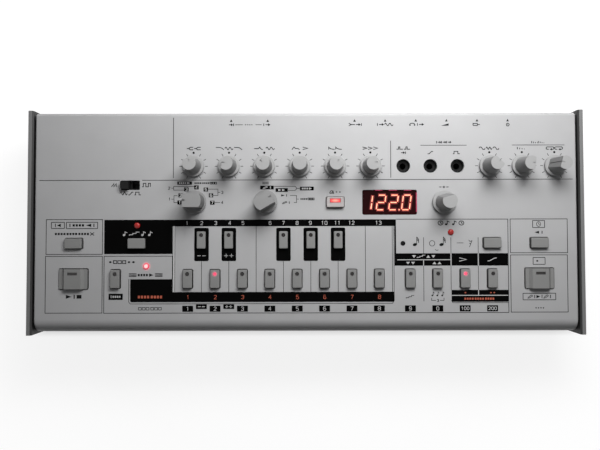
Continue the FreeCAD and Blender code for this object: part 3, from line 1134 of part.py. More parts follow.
def build():
    """Fill the table of parts."""
    parts["top_cover"] = [make_top_cover()]
    parts["bottom_case"] = [make_bottom_case()]
    parts["rear_panel"] = [make_rear_panel()]
    parts["panel_board"] = make_panel_board()
    parts["main_board"] = make_main_board()
    parts["control_bodies"] = make_control_bodies() + make_key_switches()
    parts["leds"] = make_leds()
    make_display()
    parts["sockets"] = make_sockets()
    parts["speaker"] = make_speaker()
    parts["batteries"] = make_batteries()
    parts["battery_contacts"] = make_battery_contacts()
    parts["battery_cover"] = [make_battery_cover()]
    parts["unit_screws"] = make_unit_screws()
    make_knobs()
    make_buttons()
    parts["waveform_slider"] = [make_waveform_slider()]
    parts["volume_knob"] = [make_volume_knob()]
    parts["power_slider"] = [make_power_slider()]
    parts["dock_base"] = [make_dock_base()]
    parts["dock_cheeks"] = [cheek(-1), cheek(1)]
    parts["dock_feet"] = make_dock_feet()
    parts["dock_fasteners"] = make_dock_fasteners()
    parts["dock_prop"] = [make_dock_prop()]


def export():
    """Write one STEP file for each part."""
    os.makedirs("parts", exist_ok=True)
    for name, solids in parts.items():
        shape = solids[0] if len(solids) == 1 else Part.makeCompound(solids)
        shape.exportStep(f"parts/{name}.step")
        print(f"{name}: {len(shape.Solids)} solids, {shape.Volume:.0f} mm3, valid {shape.isValid()}")


build()
export()
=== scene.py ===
import math

import bpy
from mathutils import Euler, Matrix, Vector


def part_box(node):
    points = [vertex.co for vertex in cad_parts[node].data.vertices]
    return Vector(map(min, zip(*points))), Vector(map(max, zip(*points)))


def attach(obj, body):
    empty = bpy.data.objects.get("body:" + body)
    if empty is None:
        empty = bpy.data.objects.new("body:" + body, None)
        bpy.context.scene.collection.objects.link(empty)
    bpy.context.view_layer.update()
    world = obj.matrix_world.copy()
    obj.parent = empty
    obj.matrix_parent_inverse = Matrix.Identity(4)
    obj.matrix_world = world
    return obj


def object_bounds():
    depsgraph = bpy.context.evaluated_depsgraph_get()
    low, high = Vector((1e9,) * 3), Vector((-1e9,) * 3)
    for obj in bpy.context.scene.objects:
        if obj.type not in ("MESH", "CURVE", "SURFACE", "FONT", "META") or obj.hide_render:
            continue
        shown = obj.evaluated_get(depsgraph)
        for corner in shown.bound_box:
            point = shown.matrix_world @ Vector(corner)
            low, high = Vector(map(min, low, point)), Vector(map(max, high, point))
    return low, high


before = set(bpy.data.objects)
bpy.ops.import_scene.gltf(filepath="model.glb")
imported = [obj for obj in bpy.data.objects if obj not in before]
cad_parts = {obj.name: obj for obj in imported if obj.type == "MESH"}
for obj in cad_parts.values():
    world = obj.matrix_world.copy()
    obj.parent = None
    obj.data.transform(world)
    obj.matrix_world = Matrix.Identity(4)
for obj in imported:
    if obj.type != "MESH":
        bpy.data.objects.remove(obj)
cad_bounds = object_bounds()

# The panel's print and small fittings are laid out in panel millimetres: x to the right, y to the rear,
# measured from the middle of the panel. Everything else is in metres in the row frame.

MM = 0.001
PANEL_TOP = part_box("top_cover")[1][2]

KEY_PITCH = 15.07
KEY_XS = [-65.1 + index * KEY_PITCH for index in range(8)]
SHARP_XS = [KEY_XS[0] + (gap + 0.5) * KEY_PITCH for gap in (0, 1, 3, 4, 5)]
STEP_XS = [57.44 + index * KEY_PITCH for index in range(4)]
TONE_XS = [-62.1 + index * 19.6 for index in range(6)]
ECHO_XS = [101.85 + index * 18.0 for index in range(3)]
KNOB_Y = 31.0

# Thickness of the layers that lie on a surface.

PRINT_LEVEL = 0.03 * MM
OVERPRINT_LEVEL = 0.05 * MM
GLOW_LEVEL = 0.02 * MM

# Widths of printed strokes in panel millimetres.

BAND_NUMBER = 0.28
KEY_SIGN = 0.3
FINE = 0.31
PITCH_SIGN = 0.32
RULE = 0.36
TEXT = 0.42


# Materials

class Graph:
    """Shader nodes of one material or world."""

    def __init__(self, owner):
        owner.use_nodes = True
        self.nodes, self.links = owner.node_tree.nodes, owner.node_tree.links
        self.nodes.clear()

    def add(self, kind, inputs, operation=None):
        """New node, whose inputs are linked to outputs or set to plain values."""
        node = self.nodes.new("ShaderNode" + kind)
        if operation:
            node.operation = operation
        for key, value in inputs.items():
            if isinstance(value, bpy.types.NodeSocket):
                self.links.new(value, node.inputs[key])
            else:
                node.inputs[key].default_value = value
        return node

    def math(self, operation, first, second):
        """Value worked out from two values."""
        return self.add("Math", {0: first, 1: second}, operation).outputs["Value"]

    def ramp(self, value, start, end, low, high):
        """Value that goes from low to high while another goes from start to end."""
        inputs = {"Value": value, "From Min": start, "From Max": end, "To Min": low, "To Max": high}
        return self.add("MapRange", inputs).outputs["Result"]

    def colours(self, value, start, end, low, high, interpolation="LINEAR"):
        """Colour that goes from low to high while a value goes from start to end."""
        node = self.add("ValToRGB", {"Fac": value})
        node.color_ramp.interpolation = interpolation
        for element, position, colour in zip(node.color_ramp.elements, (start, end), (low, high)):
            element.position = position
            element.color = (*colour, 1)
        return node.outputs["Color"]

    def scaled(self, colour, factor):
        """Colour times a factor."""
        return self.add("VectorMath", {0: colour, "Scale": factor}, "SCALE").outputs["Vector"]

    def coordinates(self, kind):
        """Place or direction of a point, by the name of the output."""
        return self.add("TexCoord", {}).outputs[kind]

    def part(self, vector, axis):
        """One axis of a vector."""
        return self.add("SeparateXYZ", {"Vector": vector}).outputs[axis]

    def noise(self, scale, detail, stretch=(1, 1, 1)):
        """Noise in object space, stretched along the axes."""
        place = self.add("Mapping", {"Vector": self.coordinates("Object"), "Scale": stretch})
        texture = self.add("TexNoise", {"Vector": place.outputs["Vector"], "Scale": scale, "Detail": detail})
        return texture.outputs["Fac"]

    def shaded(self, inputs):
        """Principled shader that goes straight to the material's output."""
        shader = self.add("BsdfPrincipled", inputs)
        self.add("OutputMaterial", {"Surface": shader.outputs["BSDF"]})


GRAIN_DEPTH = 0.2 * MM
PATCH_TO_GRAIN = 12
TONE_START, TONE_END = 0.3, 0.7
GLOW_SCALE = 700.0
GLOW_ROUGHNESS = 0.35

# Painted shade. A face is darkened as an upright wall where its normal points up by less than WALL_UP, and
# not at all over TOP_UP. On the left and right, a face is fully darkened as an inner one where its place
# times its direction is below INSIDE_DARK, and not at all over INSIDE_LIGHT.
WALL_UP, TOP_UP = 0.15, 0.75
INSIDE_DARK, INSIDE_LIGHT = -0.1, -0.02


def painted_upright_shade(graph, sides):
    """Painted shade: factor that is 1 on flat tops and falls to sides on upright walls."""
    return graph.ramp(graph.part(graph.coordinates("Normal"), "Z"), WALL_UP, TOP_UP, sides, 1.0)


def painted_inside_shade(graph, inside):
    """Painted shade: factor that falls to inside on faces turned to the middle of the object, left and right.
    """
    place = graph.part(graph.coordinates("Object"), "X")
    direction = graph.part(graph.coordinates("Normal"), "X")
    outward = graph.math("MULTIPLY", place, direction)
    return graph.ramp(outward, INSIDE_DARK, INSIDE_LIGHT, inside, 1.0)


def surface(name, low, high, roughness, metallic=0.0, scale=900.0, stretch=(1, 1, 1), grain=0.02, vary=0.05,
            shine=0.5, sides=1.0, inside=1.0):
    """Painted, moulded or rolled surface: two close tones, uneven gloss, a fine grain, and painted shade on
    upright walls and on inner faces where sides and inside are below 1.
    """
    material = bpy.data.materials.new(name)
    graph = Graph(material)
    patches = graph.noise(scale / PATCH_TO_GRAIN, detail=3, stretch=stretch)
    colour = graph.colours(patches, TONE_START, TONE_END, low, high)
    # Painted shade: upright walls and faces turned to the middle are darkened in the colour itself.
    if sides < 1:
        colour = graph.scaled(colour, painted_upright_shade(graph, sides))
    if inside < 1:
        colour = graph.scaled(colour, painted_inside_shade(graph, inside))
    fine = graph.noise(scale, detail=2, stretch=stretch)
    bump = graph.add("Bump", {"Height": fine, "Strength": grain, "Distance": GRAIN_DEPTH})
    graph.shaded({"Base Color": colour, "Metallic": metallic, "Specular IOR Level": shine,
                  "Roughness": graph.ramp(fine, 0, 1, roughness - vary, roughness + vary),
                  "Normal": bump.outputs["Normal"]})
    return material


def glow(name, low, high, strength):
    """Lit plastic whose light is a little uneven."""
    material = bpy.data.materials.new(name)
    graph = Graph(material)
    light = graph.colours(graph.noise(GLOW_SCALE, detail=1), TONE_START, TONE_END, low, high)
    unlit = (*[value * 0.5 for value in low], 1)
    graph.shaded({"Base Color": unlit, "Roughness": GLOW_ROUGHNESS,
                  "Emission Color": light, "Emission Strength": strength})
    return material


def halo(name, base, centre, rim, roughness, inner, outer):
    """Surface lit round its middle, with a glow that fades from the centre's colour to the rim's."""
    material = bpy.data.materials.new(name)
    graph = Graph(material)
    flat = graph.add("Mapping", {"Vector": graph.coordinates("Generated"), "Scale": (1, 1, 0)})
    away = graph.add("VectorMath", {0: flat.outputs["Vector"], 1: (0.5, 0.5, 0)}, "DISTANCE")
    light = graph.colours(away.outputs["Value"], inner, outer, centre, rim, "EASE")
    graph.shaded({"Base Color": (*base, 1), "Roughness": roughness,
                  "Emission Color": light, "Emission Strength": 1.0})
    return material


def tone(value, spread, tint=(1.0, 1.0, 1.0)):
    """Two close tones of one tinted grey."""
    return tuple(value * (1 - spread) * t for t in tint), tuple(value * (1 + spread) * t for t in tint)


# Sides below 1 paints shade on the upright walls of these surfaces.
SATIN_SILVER = surface("satin_silver", *tone(0.48, 0.02, (1.0, 1.0, 1.01)), 0.5, grain=0.05, shine=0.3,
                       sides=0.6)
KNOB_SILVER = surface("knob_silver", *tone(0.40, 0.03), 0.45, grain=0.03, shine=0.3, sides=0.5)
SELECTOR_SILVER = surface("selector_silver", *tone(0.31, 0.03), 0.45, grain=0.03, shine=0.3, sides=0.4)
BUTTON_GREY = surface("button_grey", *tone(0.26, 0.04, (1.0, 1.0, 0.985)), 0.52, grain=0.04, shine=0.3,
                      sides=0.3)
TEMPO_GREY = surface("tempo_grey", *tone(0.46, 0.04, (1.0, 0.93, 0.92)), 0.5, grain=0.04)
# The cheeks' inner faces get painted shade, for the shadow in the gap beside the panel.
CHEEK_METAL = surface("cheek_aluminium", *tone(0.22, 0.03), 0.42, stretch=(1, 0.02, 1), grain=0.08,
                      shine=0.3, inside=0.12)
DOCK_METAL = surface("dock_metal", *tone(0.32, 0.05), 0.45, metallic=0.8, grain=0.05)
CASE_PLASTIC = surface("case_plastic", *tone(0.10, 0.08), 0.6, grain=0.12, scale=1500.0)
BLACK_PLASTIC = surface("black_plastic", *tone(0.006, 0.2), 0.5, grain=0.05, shine=0.15)
RUBBER = surface("rubber", *tone(0.02, 0.2), 0.85, grain=0.15)
BOARD_GREEN = surface("board_green", (0.01, 0.06, 0.03), (0.02, 0.10, 0.05), 0.4, grain=0.05)
SCREW_STEEL = surface("screw_steel", *tone(0.35, 0.1), 0.35, metallic=1.0, grain=0.05)
CONTACT_STEEL = surface("contact_steel", *tone(0.6, 0.08, (1.0, 0.97, 0.9)), 0.3, metallic=1.0, grain=0.04)
CELL_WRAP = surface("cell_wrap", (0.02, 0.03, 0.05), (0.05, 0.06, 0.09), 0.3, metallic=0.3)
SPEAKER_BLACK = surface("speaker_black", *tone(0.03, 0.3), 0.7, grain=0.2)
LAMP_SMOKE = surface("lamp_smoke", (0.006, 0.004, 0.004), (0.012, 0.008, 0.008), 0.25, grain=0.01)
LAMP_RED = surface("lamp_red", (0.36, 0.008, 0.007), (0.46, 0.014, 0.010), 0.12, grain=0.005, shine=0.3)
WINDOW_RED = surface("window_red", (0.012, 0.001, 0.001), (0.020, 0.001, 0.002), 0.18, grain=0.003, vary=0.03,
                     shine=0.06)
INK_BLACK = surface("ink_black", *tone(0.0015, 0.2), 0.7, shine=0.02)
INK_DARK = surface("ink_dark", *tone(0.006, 0.15), 0.7, shine=0.1)
INK_GREY = surface("ink_grey", *tone(0.035, 0.15), 0.6, shine=0.2)
INK_SILVER = surface("ink_silver", *tone(0.50, 0.05), 0.45, metallic=0.6)
INK_WHITE = surface("ink_white", *tone(0.55, 0.05), 0.5)
INK_ORANGE = surface("ink_orange", (0.42, 0.085, 0.045), (0.50, 0.11, 0.06), 0.5)
GLOW_DIGIT = glow("glow_digit", (1.0, 0.42, 0.24), (1.0, 0.62, 0.42), 1.3)
GLOW_EDGE = glow("glow_edge", (0.60, 0.035, 0.02), (0.75, 0.07, 0.04), 1.0)
GLOW_HALO = glow("glow_halo", (0.08, 0.001, 0.002), (0.13, 0.002, 0.004), 1.0)
GLOW_RIM = glow("glow_rim", (0.30, 0.01, 0.05), (0.55, 0.03, 0.11), 1.0)
GLOW_KEY = glow("glow_key", (0.85, 0.06, 0.14), (0.98, 0.15, 0.24), 1.0)
GLOW_LAMP = halo("glow_lamp", (0.3, 0.02, 0.03), (1.0, 0.70, 0.70), (0.62, 0.01, 0.05), 0.35, 0.18, 0.44)
GLOW_BAR = halo("glow_bar", (0.3, 0.02, 0.02), (1.0, 0.46, 0.34), (0.80, 0.05, 0.07), 0.35, 0.05, 0.5)
# Painted glow of the lamps, on the panel and on a key top.
PANEL_HALO = halo("panel_halo", (0.48, 0.48, 0.485), (0.30, 0.02, 0.04), (0.0, 0.0, 0.0), 0.5, 0.28, 0.5)
KEY_HALO = halo("key_halo", (0.26, 0.26, 0.256), (0.50, 0.04, 0.09), (0.0, 0.0, 0.0), 0.52, 0.27, 0.5)

NODE_MATERIALS = {
    "top_cover": SATIN_SILVER, "bottom_case": CASE_PLASTIC, "panel_board": BOARD_GREEN,
    "main_board": BOARD_GREEN, "control_bodies": BLACK_PLASTIC, "rear_panel": CASE_PLASTIC,
    "leds": LAMP_SMOKE, "display_module": BLACK_PLASTIC, "display_window": WINDOW_RED,
    "sockets": BLACK_PLASTIC, "speaker": SPEAKER_BLACK, "batteries": CELL_WRAP,
    "battery_contacts": CONTACT_STEEL, "unit_screws": SCREW_STEEL, "waveform_slider": BLACK_PLASTIC,
    "power_slider": BLACK_PLASTIC, "volume_knob": BLACK_PLASTIC, "battery_cover": CASE_PLASTIC,
    "dock_base": DOCK_METAL, "dock_cheeks": CHEEK_METAL, "dock_feet": RUBBER,
    "dock_fasteners": SCREW_STEEL, "dock_prop": DOCK_METAL, "tempo_button": TEMPO_GREY,
    "group_selector": SELECTOR_SILVER, "mode_selector": SELECTOR_SILVER,
}


def node_material(name):
    """Material of a CAD node."""
    if name in NODE_MATERIALS:
        return NODE_MATERIALS[name]
    return KNOB_SILVER if name.endswith("_knob") else BUTTON_GREY


for node_name, node_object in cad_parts.items():
    node_object.data.materials.clear()
    node_object.data.materials.append(node_material(node_name))


# Meshes

SHARPEST_MITRE = 0.45
CORNER_STEPS = 4


def new_piece(name, verts, faces, material, body, smooth=False):
    """Mesh object that rides on a CAD body."""
    mesh = bpy.data.meshes.new(name)
    mesh.from_pydata(verts, [], faces)
    mesh.materials.append(material)
    if smooth:
        mesh.shade_smooth()
    mesh.update()
    piece = bpy.data.objects.new(name, mesh)
    bpy.context.scene.collection.objects.link(piece)
    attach(piece, body)


class Ink:
    """Thin printed shapes on the panel, gathered into one mesh."""

    def __init__(self, name, material, level, base=PANEL_TOP):
        self.name, self.material = name, material
        self.low, self.high = base, base + level
        self.verts, self.faces = [], []

    def area(self, outline):
        """Filled outline, drawn anticlockwise in panel millimetres."""
        first, count = len(self.verts), len(outline)
        for height in (self.low, self.high):
            self.verts += [(x * MM, y * MM, height) for x, y in outline]
        self.faces.append(tuple(first + count + index for index in range(count)))
        self.faces.append(tuple(first + count - 1 - index for index in range(count)))
        for index in range(count):
            after = (index + 1) % count
            self.faces.append((first + index, first + after, first + count + after, first + count + index))

    def line(self, points, width, closed=False):
        """Ribbon along the points, mitred at its corners."""
        sides = ribbon_sides(points, width / 2, closed)
        count = len(sides)
        for index in range(count if closed else count - 1):
            (left, right), (next_left, next_right) = sides[index], sides[(index + 1) % count]
            self.area([right, next_right, next_left, left])

    def finish(self, slot="panel_metal", body="unit"):
        """Turn the gathered shapes into a piece."""
        new_piece(self.name, self.verts, self.faces, self.material, body)


def ribbon_sides(points, half, closed):
    """Left and right side of a ribbon at each of its points."""
    sides, count = [], len(points)
    for index, point in enumerate(points):
        here = Vector(point)
        before = Vector(points[index - 1]) if closed or index else None
        after = Vector(points[(index + 1) % count]) if closed or index < count - 1 else None
        arriving = (here - before).normalized() if before is not None else (after - here).normalized()
        leaving = (after - here).normalized() if after is not None else arriving
        along = (arriving + leaving).normalized()
        across = Vector((-along.y, along.x))
        reach = half / max(SHARPEST_MITRE, across.dot(Vector((-arriving.y, arriving.x))))
        sides.append((tuple(here + across * reach), tuple(here - across * reach)))
    return sides


def arc_points(x, y, radius, start, end, count):
    """Points on an arc, in degrees, both ends included."""
    angles = [math.radians(start + (end - start) * index / count) for index in range(count + 1)]
    return [(x + radius * math.cos(angle), y + radius * math.sin(angle)) for angle in angles]


def circle_points(x, y, radius, count):
    """Points round a circle."""
    return arc_points(x, y, radius, 0, 360, count)[:-1]


def panel_box(x0, y0, x1, y1, corner=0.0, only_front=False):
    """Outline of a box, with all or only its front corners rounded."""
    x0, x1 = min(x0, x1), max(x0, x1)
    y0, y1 = min(y0, y1), max(y0, y1)
    if not corner:
        return [(x0, y0), (x1, y0), (x1, y1), (x0, y1)]
    low = arc_points(x0 + corner, y0 + corner, corner, 180, 270, CORNER_STEPS)
    low += arc_points(x1 - corner, y0 + corner, corner, 270, 360, CORNER_STEPS)
    if only_front:
        return low + [(x1, y1), (x0, y1)]
    high = arc_points(x1 - corner, y1 - corner, corner, 0, 90, CORNER_STEPS)
    return low + high + arc_points(x0 + corner, y1 - corner, corner, 90, 180, CORNER_STEPS)


# Numbers are strokes on a grid 4 wide and 6 high. A sign has its width, its strokes and its filled shapes
# on a grid 4 high.

NUMERAL_HEIGHT, NUMERAL_PITCH, NUMERAL_GAP = 6, 6, 2
SIGN_HEIGHT, SIGN_GAP = 4, 1.6
MOST_STRETCH = 0.35

NUMERALS = {
    "0": [[(1, 0), (3, 0), (4, 1), (4, 5), (3, 6), (1, 6), (0, 5), (0, 1), (1, 0)]],
    "1": [[(0.8, 4.8), (2.2, 6), (2.2, 0)]],
    "2": [[(0, 5), (1, 6), (3, 6), (4, 5), (4, 3.8), (0, 0), (4, 0)]],
    "3": [[(0, 5.2), (1, 6), (3, 6), (4, 5), (4, 4), (3, 3.1), (1.6, 3.1)],
          [(3, 3.1), (4, 2.2), (4, 1), (3, 0), (1, 0), (0, 0.8)]],
    "4": [[(3.1, 0), (3.1, 6), (0, 1.9), (4, 1.9)]],
    "5": [[(3.8, 6), (0.4, 6), (0.2, 3.2), (1.2, 3.7), (3, 3.7), (4, 2.7), (4, 1), (3, 0), (1, 0), (0, 0.8)]],
    "6": [[(3.6, 5.4), (3, 6), (1, 6), (0, 5), (0, 1), (1, 0), (3, 0), (4, 1), (4, 2.6), (3, 3.5), (0, 3.5)]],
    "7": [[(0, 6), (4, 6), (1.4, 0)]],
    "8": [[(1, 3.2), (0, 4.1), (0, 5.1), (1, 6), (3, 6), (4, 5.1), (4, 4.1), (3, 3.2), (1, 3.2), (0, 2.3),
           (0, 0.9), (1, 0), (3, 0), (4, 0.9), (4, 2.3), (3, 3.2)]],
    "9": [[(0.4, 0.6), (1, 0), (3, 0), (4, 1), (4, 5), (3, 6), (1, 6), (0, 5), (0, 3.4), (1, 2.5), (4, 2.5)]],
}

SIGNS = {
    "fork": (10, [[(0, 2), (4, 2)], [(10, 4), (5.4, 4), (4, 3), (4, 1), (5.4, 0), (10, 0)]], []),
    "slope": (10, [[(0, 3.6), (5, 3.6), (7, 2.8), (10, 0)]], []),
    "peak": (10, [[(0, 1.6), (4, 1.6), (5.6, 2.4), (6.4, 4), (7.2, 2.4), (8.4, 0.8), (10, 0)]], []),
    "rise": (9, [[(0, 0), (2.4, 4), (4.2, 1.8), (7, 1.8), (9, 0)]], []),
    "fall": (8, [[(0, 0), (0, 4), (1.2, 2.2), (3, 1.1), (5.5, 0.5), (8, 0.3)]], []),
    "wedge": (6, [[(0, 4), (6, 2), (0, 0)]], []),
    "clip": (10, [[(0, 2), (1, 4), (3.6, 4), (6.4, 0), (9, 0), (10, 2)]], []),
    "wave": (10, [[(5 + 5 * t / 8, 2 + 2 * math.sin(math.pi * t / 4)) for t in range(-8, 9)]], []),
    "echo": (9, [[(0, 0), (0, 4)], [(3, 0), (3, 2.9)], [(6, 0), (6, 2)], [(9, 0), (9, 1.2)]], []),
    "loop": (10, [[(3.4, 0), (1, 0), (0, 1), (0, 3), (1, 4), (9, 4), (10, 3), (10, 1), (9, 0), (5.8, 0)],
                  [(7.4, 1.3), (5.6, 0), (7.4, -1.3)]], []),
    "minus": (3.4, [[(0, 2), (3.4, 2)]], []),
    "plus": (4, [[(0, 2), (4, 2)], [(2, 0), (2, 4)]], []),
    "cross": (4, [[(0, 0), (4, 4)], [(0, 4), (4, 0)]], []),
    "stairs": (9, [[(0, 0), (0, 1), (3, 1), (3, 2.3), (6, 2.3), (6, 3.7), (9, 3.7)]], []),
    "glide": (9, [[(0, 0.2), (2, 0.4), (4.5, 2), (7, 3.6), (9, 3.8)]], []),
    "play": (4.6, [], [[(0, 0), (4.6, 2), (0, 4)]]),
    "back": (4.6, [], [[(0, 2), (4.6, 0), (4.6, 4)]]),
    "stop": (3.8, [], [[(0, 0.1), (3.8, 0.1), (3.8, 3.9), (0, 3.9)]]),
    "bar": (0.9, [], [[(0, 0), (0.9, 0), (0.9, 4), (0, 4)]]),
    "up": (4.4, [], [[(0, 0.3), (4.4, 0.3), (2.2, 3.8)]]),
    "down": (4.4, [], [[(0, 3.7), (2.2, 0.2), (4.4, 3.7)]]),
    "dot": (2, [], [circle_points(1, 2, 1, 12)]),
    "tiles": (10.4, [], [[(x, 0.6), (x + 2, 0.6), (x + 2, 3.4), (x, 3.4)] for x in (0, 2.8, 5.6, 8.4)]),
    "frames": (9.6, [[(x, 0.5), (x + 2.6, 0.5), (x + 2.6, 3.5), (x, 3.5), (x, 0.5)]
                     for x in (0, 3.5, 7)], []),
    "into": (7, [[(0, 2), (5, 2)], [(3.4, 3.6), (5.2, 2), (3.4, 0.4)], [(7, 0), (7, 4)]], []),
    "out": (7, [[(0, 0), (0, 4)], [(2, 2), (7, 2)], [(5.2, 3.6), (7, 2), (5.2, 0.4)]], []),
    "merge": (8, [[(0, 4), (3.4, 2), (0, 0)], [(3.4, 2), (8, 2)]], []),
    "pulse": (8, [[(0, 0), (2.6, 0), (2.6, 4), (4.2, 4), (4.2, 0), (8, 0)]], []),
    "gate": (9, [[(0, 0), (1.6, 0), (1.6, 4), (6.4, 4), (6.4, 0), (9, 0)]], []),
    "ramp": (7, [[(0, 0), (2, 0), (5, 4), (7, 4)]], []),
    "pins": (9, [], [circle_points(x, 2, 0.75, 10) for x in (0.8, 3.3, 5.8, 8.3)]),
    "phones": (7, [[(0.6, 1.4), (0.6, 2.4), (1.6, 3.6), (3.5, 4), (5.4, 3.6), (6.4, 2.4), (6.4, 1.4)]],
               [[(0, 0), (1.6, 0), (1.6, 2), (0, 2)], [(5.4, 0), (7, 0), (7, 2), (5.4, 2)]]),
    "level": (9, [], [[(0, 0.2), (9, 0.2), (9, 3.8)]]),
    "plug": (8, [[(0, 0.4), (5, 0.4), (5, 3.6), (0, 3.6), (0, 0.4)], [(5, 2), (8, 2)]], []),
    "power": (4.4, [arc_points(2.2, 1.8, 2, 125, 415, 14), [(2.2, 1.8), (2.2, 4.4)]], []),
    "clock": (4.4, [arc_points(2.2, 2, 2.1, 0, 360, 16), [(2.2, 3.4), (2.2, 2), (3.3, 1.4)]], []),
    "metronome": (5, [[(0, 0), (1.5, 4), (3.3, 4), (4.8, 0), (0, 0)], [(2.4, 0.9), (5, 3.9)]], []),
    "pencil": (6, [[(1.4, 0.2), (0, 0), (0.6, 1.4), (4.4, 4), (5.6, 2.8), (1.4, 0.2)]], []),
    "quaver": (4.6, [[(2.2, 0.8), (2.2, 4), (4.2, 2.8)]], [circle_points(1.2, 0.7, 1.05, 12)]),
    "rows": (8, [[(0, 3.6), (8, 3.6)], [(0, 2), (8, 2)], [(0, 0.4), (8, 0.4)]], []),
}


def draw_sign(ink, sign, x, y, scale_x, scale_y, width):
    """One sign with its lower left corner at x, y."""
    _, strokes, fills = SIGNS[sign]
    for stroke in strokes:
        ink.line([(x + u * scale_x, y + v * scale_y) for u, v in stroke], width)
    for fill in fills:
        ink.area([(x + u * scale_x, y + v * scale_y) for u, v in fill])


def label(ink, signs, x0, y0, x1, y1, width=TEXT):
    """Row of signs that fills a box, in the place of a word. The signs repeat while there is room."""
    scale = (y1 - y0) / SIGN_HEIGHT
    row, used = [], 0.0
    while True:
        sign = signs[len(row) % len(signs)]
        wide = SIGNS[sign][0] * scale
        if row and used + wide > x1 - x0:
            break
        row.append((sign, wide))
        used += wide + SIGN_GAP * scale
    spare = x1 - x0 - used + SIGN_GAP * scale
    stretch = 1 + min(MOST_STRETCH, spare / (used - len(row) * SIGN_GAP * scale))
    gap = (x1 - x0 - stretch * sum(wide for _, wide in row)) / max(1, len(row) - 1)
    x = x0
    for sign, wide in row:
        draw_sign(ink, sign, x, y0, scale * stretch, scale, width)
        x += wide * stretch + gap


def number(ink, text, x, y, height, width=FINE):
    """Number centred on x, y."""
    scale = height / NUMERAL_HEIGHT
    advance = NUMERAL_PITCH * scale
    left = x - (len(text) * advance - NUMERAL_GAP * scale) / 2
    for index, digit in enumerate(text):
        for stroke in NUMERALS[digit]:
            points = [(left + index * advance + u * scale, y - height / 2 + v * scale) for u, v in stroke]
            ink.line(points, width)


# Print on the panel

black = Ink("print_black_fields", INK_BLACK, PRINT_LEVEL)
rules = Ink("print_rules", INK_GREY, PRINT_LEVEL)
dark = Ink("print_dark_signs", INK_DARK, PRINT_LEVEL)
silver = Ink("print_silver_gaps", INK_SILVER, OVERPRINT_LEVEL)
white = Ink("print_white_signs", INK_WHITE, OVERPRINT_LEVEL)
orange = Ink("print_orange_signs", INK_ORANGE, OVERPRINT_LEVEL)

# Edges that several printed fields share, from the left to the right and from the rear to the front.

FUNCTION_LEFT, KEYS_LEFT, KEYS_RIGHT, TIME_RIGHT = -111.3, -73.6, 49.8, 111.6
FIELD_REAR, BAND_FRONT, FUNCTION_REAR, KEYS_FRONT, FIELD_FRONT = 1.4, -2.3, -18.7, -38.5, -50.0
STEP_REAR, STEP_FRONT, SECTION_REAR = -17.4, -24.2, -37.6

# Radius of the corners of small fields.

CORNER = 0.2

# Scale round a knob, with turns in degrees.

TICKS_PER_SIDE, TICK_TURN = 5, 30
TICK_START, TICK_END = 6.4, 7.9
SCALE_DOT_REACH, SCALE_DOT_RADIUS = 7.5, 0.62


def frame_box(ink, x0, y0, x1, y1, corner=0.0):
    """Drawn outline of a box."""
    ink.line(panel_box(x0, y0, x1, y1, corner), RULE, closed=True)


def black_number(text, x0, y0, x1, y1, height):
    """White number on a small black field."""
    black.area(panel_box(x0, y0, x1, y1, CORNER))
    number(white, text, (x0 + x1) / 2, (y0 + y1) / 2, height)


def print_dividers():
    """Long rules between the panel's zones."""
    rules.line([(-147.5, 23.3), (-102.9, 23.3)], RULE)
    rules.line([(-90.6, 23.3), (147.8, 23.5)], RULE)
    rules.line([(-73.3, 58.1), (-73.3, 24.5)], RULE)
    rules.line([(47.15, 45.1), (47.15, 24.5)], RULE)
    rules.line([(63.7, 42.45), (89.3, 42.45)], FINE)
    rules.line([(114.5, 42.5), (143.6, 42.5)], FINE)


def print_rear_row():
    """Arrows and signs for the sockets in the rear wall."""
    for x in (-41.3, -21.0, 27.2, 44.2, 61.2, 78.2, 95.2, 112.2):
        dark.area([(x - 0.75, 55.7), (x + 0.75, 55.7), (x, 57.1)])
    rules.line([(-39.1, 54.1), (-34.9, 54.1)], FINE)
    rules.line([(-27.8, 54.1), (-24.4, 54.1)], FINE)
    label(dark, ["into"], -42.6, 53.4, -40.0, 54.8)
    label(dark, ["pins", "pins"], -33.7, 53.4, -28.5, 54.8)
    label(dark, ["out"], -23.2, 53.4, -18.9, 54.8)
    label(dark, ["merge", "into"], 24.0, 53.4, 31.0, 54.8)
    label(dark, ["out", "wave"], 39.9, 53.4, 48.6, 54.8)
    label(dark, ["phones", "out"], 57.6, 53.4, 65.4, 54.8)
    label(dark, ["level"], 75.2, 53.3, 81.6, 54.7)
    label(dark, ["plug"], 93.0, 53.3, 97.2, 54.7)
    label(dark, ["power"], 111.4, 53.2, 113.1, 54.8)


def print_scale(x, y):
    """Ticks round a knob, with a dot in the place of the middle one."""
    dark.area(circle_points(x, y + SCALE_DOT_REACH, SCALE_DOT_RADIUS, 16))
    for step in range(-TICKS_PER_SIDE, TICKS_PER_SIDE + 1):
        if step:
            angle = math.radians(90 - TICK_TURN * step)
            direction = Vector((math.cos(angle), math.sin(angle)))
            centre = Vector((x, y))
            dark.line([tuple(centre + direction * TICK_START), tuple(centre + direction * TICK_END)], FINE)


